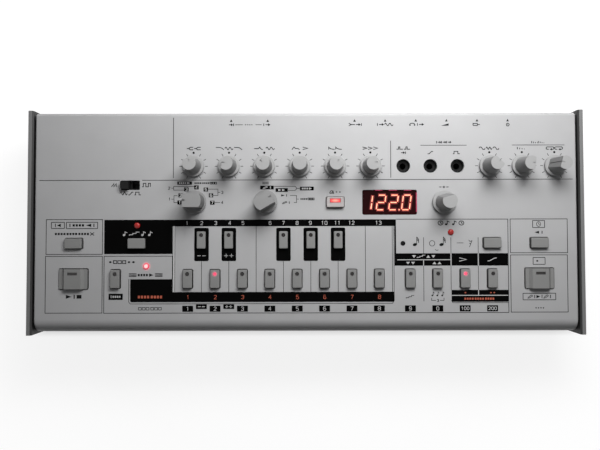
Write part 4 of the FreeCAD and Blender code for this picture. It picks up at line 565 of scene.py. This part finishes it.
def print_knob_row():
    """Scales and signs of the round knobs and the panel sockets."""
    tone_labels = ((["fork"], -65.9, -58.2), (["slope", "wave", "slope"], -49.8, -35.2),
                   (["peak", "wave"], -28.5, -17.3), (["rise", "wedge"], -7.6, 1.2),
                   (["fall"], 12.8, 20.0), (["wedge", "wedge"], 31.6, 40.0))
    for x, (signs, x0, x1) in zip(TONE_XS, tone_labels):
        print_scale(x, KNOB_Y)
        label(dark, signs, x0, 40.2, x1, 41.6)
    echo_labels = ((["clip", "wave"], 96.2, 107.2), (["echo"], 117.4, 122.4),
                   (["loop", "loop"], 133.4, 142.4))
    for x, (signs, x0, x1) in zip(ECHO_XS, echo_labels):
        print_scale(x, KNOB_Y)
        label(dark, signs, x0, 40.1, x1, 41.4)
    label(dark, ["pulse", "pulse"], 50.4, 40.3, 58.0, 41.6)
    label(dark, ["into"], 52.9, 37.7, 55.4, 39.0)
    label(dark, ["ramp"], 67.6, 37.7, 70.7, 39.0)
    label(dark, ["gate"], 81.6, 37.7, 86.6, 39.0)
    label(dark, ["out", "out"], 72.6, 43.5, 80.6, 44.8)
    label(dark, ["echo", "echo"], 125.4, 43.5, 132.2, 44.7)


def print_wave_switch():
    """Wave shapes beside the slide switch."""
    dark.line([(-107.5, 19.7), (-106.2, 21.5), (-106.2, 19.7), (-104.9, 21.5), (-104.9, 19.7)], TEXT)
    dark.line([(-90.6, 19.7), (-89.9, 19.7), (-89.9, 21.6), (-88.5, 21.6), (-88.5, 19.7), (-87.1, 19.7),
               (-87.1, 21.6), (-86.0, 21.6), (-86.0, 19.7)], TEXT)
    label(dark, ["wave", "ramp", "gate"], -102.8, 15.2, -91.2, 16.7)


def print_group_selector():
    """Numbers round the seven-way selector and the brackets that group them."""
    places = ((-69.75, 10.95), (-69.2, 14.9), (-66.05, 18.2), (-60.5, 19.3), (-55.3, 18.1), (-52.4, 14.85),
              (-51.7, 10.8))
    for index, (x, y) in enumerate(places):
        black_number(str(index + 1), x - 1.25, y - 1.15, x + 1.25, y + 1.15, 1.5)
    rules.line([(-70.9, 14.7), (-72.9, 14.7), (-72.9, 10.9), (-70.9, 10.9)], FINE)
    rules.line([(-72.9, 12.8), (-74.4, 12.8)], FINE)
    rules.line([(-61.6, 19.8), (-73.1, 19.8), (-73.1, 17.8), (-67.2, 17.8)], FINE)
    rules.line([(-73.1, 18.9), (-74.4, 18.9)], FINE)
    rules.line([(-54.1, 18.3), (-48.6, 18.3), (-48.6, 14.8), (-51.2, 14.8)], FINE)
    rules.line([(-48.6, 16.5), (-47.4, 16.5)], FINE)
    rules.line([(-50.5, 10.9), (-47.3, 10.9)], FINE)
    for text, x, y in (("1", -75.4, 12.8), ("2", -75.6, 18.9), ("3", -46.2, 16.5), ("4", -46.2, 10.9)):
        number(dark, text, x, y, 1.4)
    black.area(panel_box(-71.1, 20.8, -63.0, 22.6, 0.15))
    label(white, ["tiles", "play"], -70.2, 21.15, -63.9, 22.3, FINE)
    label(dark, ["tiles", "tiles", "frames"], -61.6, 21.0, -49.4, 22.3)


def print_mode_selector():
    """Signs round the four-way selector."""
    label(dark, ["rows"], -24.0, 21.0, -19.2, 22.3, FINE)
    black.area(panel_box(-25.2, 18.1, -17.7, 20.2, CORNER))
    label(white, ["pencil", "bar"], -23.6, 18.5, -19.3, 19.8, FINE)
    black.area(panel_box(-16.7, 16.7, -9.9, 18.8, CORNER))
    label(white, ["play", "play"], -15.2, 17.1, -11.4, 18.4)
    black.area(panel_box(-3.2, 17.5, 4.5, 19.6, CORNER))
    label(white, ["tiles", "play"], -2.1, 17.9, 3.4, 19.2)
    rules.line([(-17.5, 19.8), (-6.0, 19.8), (-5.2, 19.2), (-5.2, 18.1), (-6.0, 17.5), (-9.8, 17.5)], FINE)
    rules.line([(-5.2, 18.6), (-3.3, 18.6)], FINE)
    label(dark, ["play", "bar"], -13.6, 14.1, -10.4, 15.4)
    label(dark, ["pencil", "bar"], -12.9, 10.1, -8.9, 11.4, FINE)
    rules.line([(-8.7, 14.7), (-5.1, 14.7), (-5.1, 10.8), (-6.6, 10.8)], FINE)
    rules.line([(-5.1, 12.7), (-3.8, 12.7)], FINE)
    label(dark, ["tiles", "frames"], -2.9, 12.1, 4.6, 13.4)


def print_middle_row():
    """Signs of the tempo button and the value knob."""
    label(dark, ["metronome", "dot", "dot"], 13.2, 15.9, 19.4, 17.3)
    label(dark, ["minus", "plus"], 73.9, 18.6, 79.1, 19.9)


def print_left_boxes():
    """Two boxes at the far left."""
    frame_box(rules, -143.4, 1.6, -112.3, -17.6)
    frame_box(rules, -143.6, FUNCTION_REAR, -112.3, -49.9)
    frame_box(dark, -140.6, -3.3, -133.4, 0.1, CORNER)
    frame_box(dark, -132.3, -3.4, -115.0, 0.1, CORNER)
    label(dark, ["bar", "back"], -138.6, -2.5, -135.4, -0.7)
    label(dark, ["bar", "tiles", "back"], -130.6, -2.5, -116.8, -0.7)
    label(dark, ["tiles", "tiles", "tiles", "cross"], -138.6, -7.2, -116.9, -5.5)
    label(dark, ["play", "bar", "stop"], -132.2, -42.0, -123.6, -39.9)


def print_pitch_and_function():
    """Black pitch field and the function box in front of it."""
    black.area(panel_box(FUNCTION_LEFT, -17.5, KEYS_LEFT, FIELD_REAR))
    label(white, ["quaver", "stairs", "quaver"], -101.2, -7.4, -84.4, -5.2, PITCH_SIGN)
    rules.line([(KEYS_LEFT, -31.4), (KEYS_LEFT, FUNCTION_REAR), (FUNCTION_LEFT, FUNCTION_REAR),
                (FUNCTION_LEFT, FIELD_FRONT), (TIME_RIGHT, FIELD_FRONT)], RULE)
    label(dark, ["dot", "frames", "dot"], -108.6, -23.0, -94.4, -20.9)
    label(dark, ["rows", "tiles", "play"], -97.6, -30.0, -79.0, -28.2)
    black.area(panel_box(-108.7, -42.7, -100.9, -39.3, CORNER))
    label(white, ["bar", "tiles", "bar"], -107.5, -41.8, -102.1, -40.2)
    black.area(panel_box(-96.8, KEYS_FRONT, KEYS_LEFT, -31.4))
    rules.line([(-97.6, -31.2), (-97.6, -43.9), (-96.7, -44.95), (-72.0, -44.95)], FINE)
    label(orange, ["tiles", "tiles"], -92.6, -42.2, -79.2, -40.1)
    label(dark, ["frames", "frames"], -92.2, -48.5, -79.6, -46.7, FINE)


def print_keyboard():
    """Drawn keyboard behind the key buttons, with its numbered bands."""
    black.area(panel_box(KEYS_LEFT, BAND_FRONT, KEYS_RIGHT, FIELD_REAR))
    black.area(panel_box(-96.8, -44.0, 48.8, KEYS_FRONT, 0.9, only_front=True))
    black.area(panel_box(48.9, STEP_FRONT, KEYS_RIGHT, BAND_FRONT))
    for x in (-73.3, -72.3):
        rules.line([(x, BAND_FRONT), (x, -38.4)], FINE)
    silver.area(panel_box(-73.15, KEYS_FRONT, -72.45, -2.2))
    for left, right in zip(KEY_XS, KEY_XS[1:]):
        x = (left + right) / 2
        behind_sharp = min(abs(x - sharp) for sharp in SHARP_XS) < 1
        rules.line([(x, -21.6 if behind_sharp else BAND_FRONT), (x, KEYS_FRONT)], FINE)
    rules.line([(47.7, BAND_FRONT), (47.7, KEYS_FRONT)], FINE)
    rules.line([(48.6, BAND_FRONT), (48.6, -43.4), (47.6, -44.85), (-72.0, -44.95)], FINE)
    for x in SHARP_XS:
        black.area(panel_box(x - 4.0, -21.5, x + 4.0, -3.1, 0.8))
    label(white, ["minus", "minus"], SHARP_XS[0] - 2.3, -19.5, SHARP_XS[0] + 2.3, -17.5, KEY_SIGN)
    label(white, ["plus", "plus"], SHARP_XS[1] - 2.5, -19.5, SHARP_XS[1] + 2.5, -17.5, KEY_SIGN)
    note_xs = (-65.6, -57.5, -49.8, -42.0, -34.7, -19.7, -12.4, -4.8, 2.5, 10.2, 17.4, 25.2, 40.1)
    for index, x in enumerate(note_xs):
        number(white, str(index + 1), x, -0.5, 1.9, BAND_NUMBER)
    for index, x in enumerate(KEY_XS):
        number(orange, str(index + 1), x + 0.1, -41.3, 2.0, BAND_NUMBER)
        black_number(str(index + 1), x - 3.0, -49.3, x + 3.0, -46.0, 2.0)
    for x, sign in ((SHARP_XS[0], "minus"), (SHARP_XS[1], "plus")):
        black.area(panel_box(x - 3.0, -47.8, x + 3.0, -45.2, CORNER))
        label(white, [sign, sign], x - 1.9, -47.2, x + 1.9, -45.8)


def draw_note(x, y):
    """Short note with two flags, its head at x, y."""
    dark.area([(x + u * 1.15 - v * 0.35, y + u * 0.4 + v * 0.75) for u, v in circle_points(0, 0, 1, 16)])
    stem = x + 1.0
    dark.line([(stem, y + 0.3), (stem, y + 4.3)], FINE)
    for drop in (0.0, 1.1):
        dark.line([(stem, y + 4.2 - drop), (stem + 0.9, y + 3.1 - drop), (stem + 1.1, y + 2.1 - drop)], TEXT)


def print_time_signs():
    """Clock and note signs over the black fields right of the keyboard."""
    rules.line([(49.9, 1.45), (TIME_RIGHT, FIELD_REAR), (TIME_RIGHT, FIELD_FRONT)], RULE)
    label(dark, ["clock", "quaver", "quaver", "clock"], 73.0, -1.8, 87.4, 0.4)
    dark.area(circle_points(53.6, -11.9, 1.35, 24))
    draw_note(60.2, -12.6)
    dark.line(circle_points(69.7, -11.9, 1.5, 24), FINE, closed=True)
    draw_note(74.9, -12.6)
    dark.line([(71.3, -15.3), (72.2, -15.8), (73.2, -15.5)], FINE)
    rules.line([(83.3, -11.7), (87.0, -11.7)], FINE)
    dark.line([(89.9, -10.1), (90.6, -10.9), (91.7, -10.5), (90.3, -14.0)], FINE)
    dark.line([(90.3, -11.9), (91.2, -12.2)], TEXT)
    for x in (65.0, 80.05, 95.1):
        rules.line([(x, -8.6), (x, STEP_REAR)], FINE)


def print_step_fields():
    """Black fields with signs behind the four buttons right of the keyboard."""
    rules.line([(64.95, -24.3), (64.95, -43.8)], FINE)
    for x in (80.0, 95.05):
        rules.line([(x, -24.3), (x, SECTION_REAR)], FINE)
    black.area(panel_box(KEYS_RIGHT, STEP_FRONT, 79.75, STEP_REAR))
    silver.area(panel_box(50.4, -21.15, 79.75, -20.75))
    silver.area(panel_box(64.7, STEP_FRONT, 65.1, -20.75))
    black.area(panel_box(80.35, STEP_FRONT, 94.8, STEP_REAR))
    black.area(panel_box(95.4, STEP_FRONT, 111.4, STEP_REAR))
    label(white, ["down", "stairs", "up"], 58.6, -20.0, 71.4, -18.3, FINE)
    label(white, ["down", "down"], 55.2, -23.5, 60.2, -22.0)
    label(white, ["up", "up"], 69.8, -23.5, 74.8, -22.0)
    label(white, ["wedge", "wedge"], 84.6, -21.8, 90.6, -19.9)
    label(white, ["glide"], 100.2, -21.8, 105.2, -19.9)
    label(dark, ["stairs"], 55.2, -42.2, 59.6, -40.5, FINE)


def print_triplet():
    """Three short notes over a bracket with its 3."""
    for x in (69.6, 72.3, 75.0):
        dark.area(circle_points(x, -40.6, 0.5, 12))
        dark.line([(x + 0.45, -40.5), (x + 0.45, -38.6), (x + 1.2, -39.4)], FINE)
    dark.line([(71.6, -43.3), (69.2, -43.3), (69.2, -41.9)], FINE)
    dark.line([(73.8, -43.3), (76.0, -43.3), (76.0, -41.9)], FINE)
    number(dark, "3", 72.65, -43.4, 1.3)


def print_section_field():
    """Black field with orange signs in front of the last two buttons, and the step numbers."""
    black.area(panel_box(80.2, -44.1, 111.5, SECTION_REAR, 0.7, only_front=True))
    silver.area(panel_box(80.3, -40.75, 111.4, -40.35))
    silver.area(panel_box(94.85, -40.4, 95.25, SECTION_REAR))
    rules.line([(80.0, -43.2), (80.9, -44.6), (111.5, -44.6)], FINE)
    label(orange, ["dot"], 87.3, -39.8, 88.5, -38.3)
    label(orange, ["dot", "dot"], 101.4, -39.8, 104.2, -38.3)
    label(orange, ["tiles", "tiles", "tiles"], 87.2, -43.2, 103.6, -41.6)
    for x, text in zip(STEP_XS, ("9", "0", "100", "200")):
        black_number(text, x - 3.0, -49.4, x + 3.0, -46.0, 1.9 if len(text) == 1 else 1.6)


def print_right_boxes():
    """Two boxes at the far right."""
    frame_box(rules, 112.9, 1.45, 144.4, -17.2)
    frame_box(rules, 112.9, -18.4, 144.2, -49.8)
    frame_box(dark, 125.3, -3.3, 131.9, 0.6, CORNER)
    frame_box(dark, 125.3, -23.6, 131.9, -19.8, CORNER)
    frame_box(dark, 119.5, -43.1, 137.5, -39.5, CORNER)
    label(dark, ["clock"], 127.4, -2.6, 129.8, -0.1, FINE)
    label(dark, ["back", "bar"], 126.3, -6.7, 130.7, -5.1)
    label(dark, ["dot", "back"], 127.0, -22.6, 130.2, -20.8)
    label(dark, ["pencil", "bar", "play", "bar"], 122.2, -42.2, 134.8, -40.4, FINE)
    label(dark, ["dot", "dot", "dot"], 126.2, -48.2, 131.0, -46.8)


for draw in (print_dividers, print_rear_row, print_knob_row, print_wave_switch, print_group_selector,
             print_mode_selector, print_middle_row, print_left_boxes, print_pitch_and_function,
             print_keyboard, print_time_signs, print_step_fields, print_triplet, print_section_field,
             print_right_boxes):
    draw()
for ink in (black, rules, dark, silver, white, orange):
    ink.finish()


# Lamps

DOME_RINGS, DOME_SECTORS = 6, 24
RING_SECTORS = 36
KEY_LAMP_BEHIND = 2.7
KEY_LAMP_SINK = 0.4 * MM
KEY_LAMP_RADIUS, KEY_LAMP_RISE = 0.85 * MM, 0.3 * MM
KEY_GLOW_INNER, KEY_GLOW_OUTER = 0.92, 1.7
PANEL_LAMP_RADIUS, PANEL_LAMP_RISE = 1.7 * MM, 1.0 * MM
PANEL_GLOW_INNER, PANEL_GLOW_OUTER = 1.6, 2.9
PITCH_LAMP, FUNCTION_LAMP, TIME_LAMP = (-93.2, -1.87), (-88.0, -24.2), (80.05, -5.77)


def dome(name, x, y, base, radius, rise, material):
    """Round lens with a domed top, which stands on height base and rides on the unit."""
    verts, faces = [], []
    for ring in range(DOME_RINGS):
        angle = math.pi / 2 * ring / DOME_RINGS
        reach, height = radius * math.cos(angle), base + rise * math.sin(angle)
        for sector in range(DOME_SECTORS):
            turn = 2 * math.pi * sector / DOME_SECTORS
            verts.append((x * MM + reach * math.cos(turn), y * MM + reach * math.sin(turn), height))
    verts.append((x * MM, y * MM, base + rise))
    for ring in range(DOME_RINGS - 1):
        here, above = ring * DOME_SECTORS, (ring + 1) * DOME_SECTORS
        for sector in range(DOME_SECTORS):
            after = (sector + 1) % DOME_SECTORS
            faces.append((here + sector, here + after, above + after, above + sector))
    last, tip = (DOME_RINGS - 1) * DOME_SECTORS, len(verts) - 1
    faces += [(last + sector, last + (sector + 1) % DOME_SECTORS, tip) for sector in range(DOME_SECTORS)]
    faces.append(tuple(reversed(range(DOME_SECTORS))))
    new_piece(name, verts, faces, material, "unit", smooth=True)


def light_ring(name, x, y, base, inner, outer, material, body):
    """Painted glow for the light that a lamp throws on the surface round it."""
    ring = Ink(name, material, GLOW_LEVEL, base)
    ring.line(circle_points(x, y, (inner + outer) / 2, RING_SECTORS), outer - inner, closed=True)
    ring.finish("lamp_plastic", body)


def top_middle(node):
    """Middle of a node in panel millimetres, and the height of its top."""
    low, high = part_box(node)
    return (low[0] + high[0]) / 2 / MM, (low[1] + high[1]) / 2 / MM, high[2]


def make_lamps():
    """Lit lamps of two keys, the three round panel lamps, and the glow round those that are lit."""
    for side, node in (("left", "natural_key_2"), ("right", "accent_key")):
        x, y, key_top = top_middle(node)
        place = (x, y + KEY_LAMP_BEHIND)
        dome("key_lamp_" + side, *place, key_top - KEY_LAMP_SINK, KEY_LAMP_RADIUS, KEY_LAMP_RISE, GLOW_KEY)
        light_ring("key_glow_" + side, *place, key_top, KEY_GLOW_INNER, KEY_GLOW_OUTER, KEY_HALO,
                   node + "_body")
    for name, place, material in (("pitch_lamp", PITCH_LAMP, LAMP_RED),
                                  ("function_lamp", FUNCTION_LAMP, GLOW_LAMP),
                                  ("time_lamp", TIME_LAMP, LAMP_RED)):
        dome(name, *place, PANEL_TOP + GLOW_LEVEL, PANEL_LAMP_RADIUS, PANEL_LAMP_RISE, material)
    light_ring("function_glow", *FUNCTION_LAMP, PANEL_TOP, PANEL_GLOW_INNER, PANEL_GLOW_OUTER, PANEL_HALO,
               "unit")


# Display and tempo button. The corners of a digit's segments lie on a grid 1 wide and 2 high.

SEGMENTS = {
    "a": ((0, 2), (1, 2)), "b": ((1, 2), (1, 1)), "c": ((1, 1), (1, 0)), "d": ((0, 0), (1, 0)),
    "e": ((0, 1), (0, 0)), "f": ((0, 2), (0, 1)), "g": ((0, 1), (1, 1)),
}
LIT = {"1": "bc", "2": "abdeg", "0": "abcdef"}
DIGITS = (("1", 31.7), ("2", 39.0), ("2", 45.9), ("0", 53.0))
DIGIT_LOW, DIGIT_STEP, DIGIT_WIDTH, DIGIT_SLANT = 6.7, 4.05, 4.3, 0.14
DECIMAL_POINT = (51.7, 6.7)

RIM_INSET = 0.2
RIM_FRONT_GAP, RIM_REAR_GAP = 1.5, 1.2
RIM_SIDE_WIDTH, RIM_REAR_WIDTH = 0.4, 0.3
RIM_STRETCHES = ((38.5, 42.5), (46.0, 50.5), (54.5, 58.5))

LENS_BEHIND = 0.9
LENS_HALF_WIDTH, LENS_HALF_DEPTH, LENS_CORNER = 2.8, 0.98, 0.3
LENS_SINK, LENS_HEIGHT = 0.3 * MM, 0.12 * MM


def segment_points(corner, left):
    """Panel place of a corner of a seven-segment digit."""
    u, v = corner
    y = DIGIT_LOW + v * DIGIT_STEP
    return left + u * DIGIT_WIDTH + DIGIT_SLANT * (y - DIGIT_LOW), y


def shorten(a, b, gap):
    """Segment cut back by a gap at both ends."""
    start, end = Vector(a), Vector(b)
    along = (end - start).normalized() * gap
    return [tuple(start + along), tuple(end - along)]


def make_digits():
    """Glowing number behind the red window, each stroke with a red edge and a soft halo under it."""
    window_top = top_middle("display_window")[2]
    layers = (("display_digits", GLOW_DIGIT, 0.06 * MM, 0.50, 0.45, 0.30),
              ("display_edges", GLOW_EDGE, 0.04 * MM, 0.30, 0.85, 0.46),
              ("display_halo", GLOW_HALO, 0.02 * MM, 0.0, 2.0, 0.95))
    for name, material, level, gap, width, dot_radius in layers:
        layer = Ink(name, material, level, window_top)
        for digit, left in DIGITS:
            for key in LIT[digit]:
                a, b = (segment_points(corner, left) for corner in SEGMENTS[key])
                layer.line(shorten(a, b, gap), width)
        layer.area(circle_points(*DECIMAL_POINT, dot_radius, 14))
        layer.finish("window_plastic")


def make_window_rim():
    """Painted crimson glow on the window's right and rear edge, for the display's light caught there."""
    low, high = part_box("display_window")
    rim = Ink("window_rim", GLOW_RIM, GLOW_LEVEL, high[2])
    right, rear = high[0] / MM - RIM_INSET, high[1] / MM - RIM_INSET
    rim.line([(right, low[1] / MM + RIM_FRONT_GAP), (right, rear - RIM_REAR_GAP)], RIM_SIDE_WIDTH)
    for start, end in RIM_STRETCHES:
        rim.line([(start, rear), (end, rear)], RIM_REAR_WIDTH)
    rim.finish("window_plastic")


def make_tempo_lens():
    """Lit lens in the tempo button's window."""
    x, y, button_top = top_middle("tempo_button")
    y += LENS_BEHIND
    lens = Ink("tempo_lens", GLOW_BAR, LENS_HEIGHT, button_top - LENS_SINK)
    lens.area(panel_box(x - LENS_HALF_WIDTH, y - LENS_HALF_DEPTH, x + LENS_HALF_WIDTH, y + LENS_HALF_DEPTH,
                        LENS_CORNER))
    lens.finish("lamp_plastic", "tempo_button_body")


make_lamps()
make_digits()
make_window_rim()
make_tempo_lens()


# Floor, light and camera

FLOOR_HALF = 4.0
FLOOR_GREY = 0.30
AMBIENT = 0.06

# Start and end of each ramp on the floor, and how bright the floor is there. The first runs over metres
# from the middle, the second over the share of the object's half size and paints a shadow under the object.
OPEN_FLOOR = (0.15, 0.5, 0.0, 0.14)
PAINTED_CONTACT_SHADOW = (0.9, 1.08, 0.15, 0.86)

# Name, place, width and depth, and power of each light. They all look at AIM.
AIM = (0.0, 0.0, 0.03)
LIGHTS = (
    ("key_light", (0.045, 0.17, 0.20), (0.22, 0.10), 0.42),
    ("key_light_right", (0.09, 0.20, 0.20), (0.18, 0.10), 0.22),
    ("rear_light", (0.05, 0.22, 0.28), (0.3, 0.12), 0.34),
    ("side_light", (0.12, 0.32, 0.30), (0.3, 0.12), 0.14),
)

# Width and focal length of the photograph in pixels.
PHOTO_WIDTH, PHOTO_FOCAL_LENGTH = 600.0, 560.0
SENSOR_WIDTH = 36.0
CAMERA_PLACE = (-3.04 * MM, -10.40 * MM, PANEL_TOP + 309.3 * MM)
CAMERA_TURN = (-0.0283, -0.0005, 0.0020)


def looked_at(graph):
    """Factor that is 1 for what the camera, a reflection or a clear material sees, else 0."""
    path = graph.add("LightPath", {}).outputs
    factor = path["Is Camera Ray"]
    for kind in ("Is Glossy Ray", "Is Transmission Ray"):
        factor = graph.math("MAXIMUM", factor, path[kind])
    return factor


def footprint(graph):
    """Value that is below 1 under the object and above 1 beside it."""
    half_sizes = (cad_bounds[1][0], cad_bounds[1][1], 1)
    reach = graph.add("VectorMath", {0: graph.coordinates("Object"), 1: half_sizes}, "DIVIDE")
    size = graph.add("VectorMath", {0: reach.outputs["Vector"]}, "ABSOLUTE").outputs["Vector"]
    return graph.math("MAXIMUM", graph.part(size, "X"), graph.part(size, "Y"))


def floor_material():
    """Matt floor that shines white where it is looked at, with painted shade that keeps it darker under and
    near the object.
    """
    material = bpy.data.materials.new("floor_pale")
    graph = Graph(material)
    matt = graph.add("BsdfDiffuse", {"Color": (FLOOR_GREY, FLOOR_GREY, FLOOR_GREY, 1)})
    away = graph.add("VectorMath", {0: graph.coordinates("Object")}, "LENGTH").outputs["Value"]
    open_floor = graph.ramp(away, *OPEN_FLOOR)
    # Painted shadow: the floor's white is turned down under and just round the object.
    beside = graph.ramp(footprint(graph), *PAINTED_CONTACT_SHADOW)
    strength = graph.math("MULTIPLY", graph.math("ADD", open_floor, beside), looked_at(graph))
    bright = graph.add("Emission", {"Strength": strength})
    both = graph.add("AddShader", {0: matt.outputs["BSDF"], 1: bright.outputs["Emission"]})
    graph.add("OutputMaterial", {"Surface": both.outputs["Shader"]})
    return material


def make_floor():
    """Pale floor that melts into the white backdrop, keeps the object's soft shadow and has a painted shadow
    under the object.
    """
    corners = [(x * FLOOR_HALF, y * FLOOR_HALF, 0) for x, y in ((-1, -1), (1, -1), (1, 1), (-1, 1))]
    mesh = bpy.data.meshes.new("floor")
    mesh.from_pydata(corners, [], [(0, 1, 2, 3)])
    mesh.materials.append(floor_material())
    floor = bpy.data.objects.new("floor", mesh)
    bpy.context.scene.collection.objects.link(floor)


def make_world():
    """White backdrop for what is looked at, dim grey light for the rest."""
    world = bpy.data.worlds.new("studio")
    bpy.context.scene.world = world
    graph = Graph(world)
    dim = graph.add("Background", {"Color": (AMBIENT, AMBIENT, AMBIENT * 1.02, 1)})
    backdrop = graph.add("Background", {"Color": (1, 1, 1, 1)})
    choose = graph.add("MixShader", {"Fac": looked_at(graph), 1: dim.outputs["Background"],
                                     2: backdrop.outputs["Background"]})
    graph.add("OutputWorld", {"Surface": choose.outputs["Shader"]})


def soft_light(name, place, size, power):
    """Rectangular soft light that looks at the object."""
    light = bpy.data.lights.new(name, "AREA")
    light.shape = "RECTANGLE"
    light.size, light.size_y = size
    light.energy = power
    lamp = bpy.data.objects.new(name, light)
    lamp.location = place
    lamp.rotation_euler = (Vector(AIM) - Vector(place)).to_track_quat("-Z", "Y").to_euler()
    bpy.context.scene.collection.objects.link(lamp)


def make_camera():
    """Camera straight above the panel, as in the photograph."""
    camera = bpy.data.cameras.new("camera")
    camera.sensor_width = SENSOR_WIDTH
    camera.lens = PHOTO_FOCAL_LENGTH / PHOTO_WIDTH * SENSOR_WIDTH
    camera.clip_start = 0.01
    turn = Euler(CAMERA_TURN, "XYZ").to_matrix()
    viewer = bpy.data.objects.new("camera", camera)
    viewer.matrix_world = Matrix.Translation(CAMERA_PLACE) @ turn.inverted().to_4x4()
    bpy.context.scene.collection.objects.link(viewer)
    bpy.context.scene.camera = viewer


make_floor()
make_world()
for light_values in LIGHTS:
    soft_light(*light_values)
make_camera()
bpy.context.scene.view_settings.view_transform = "Standard"
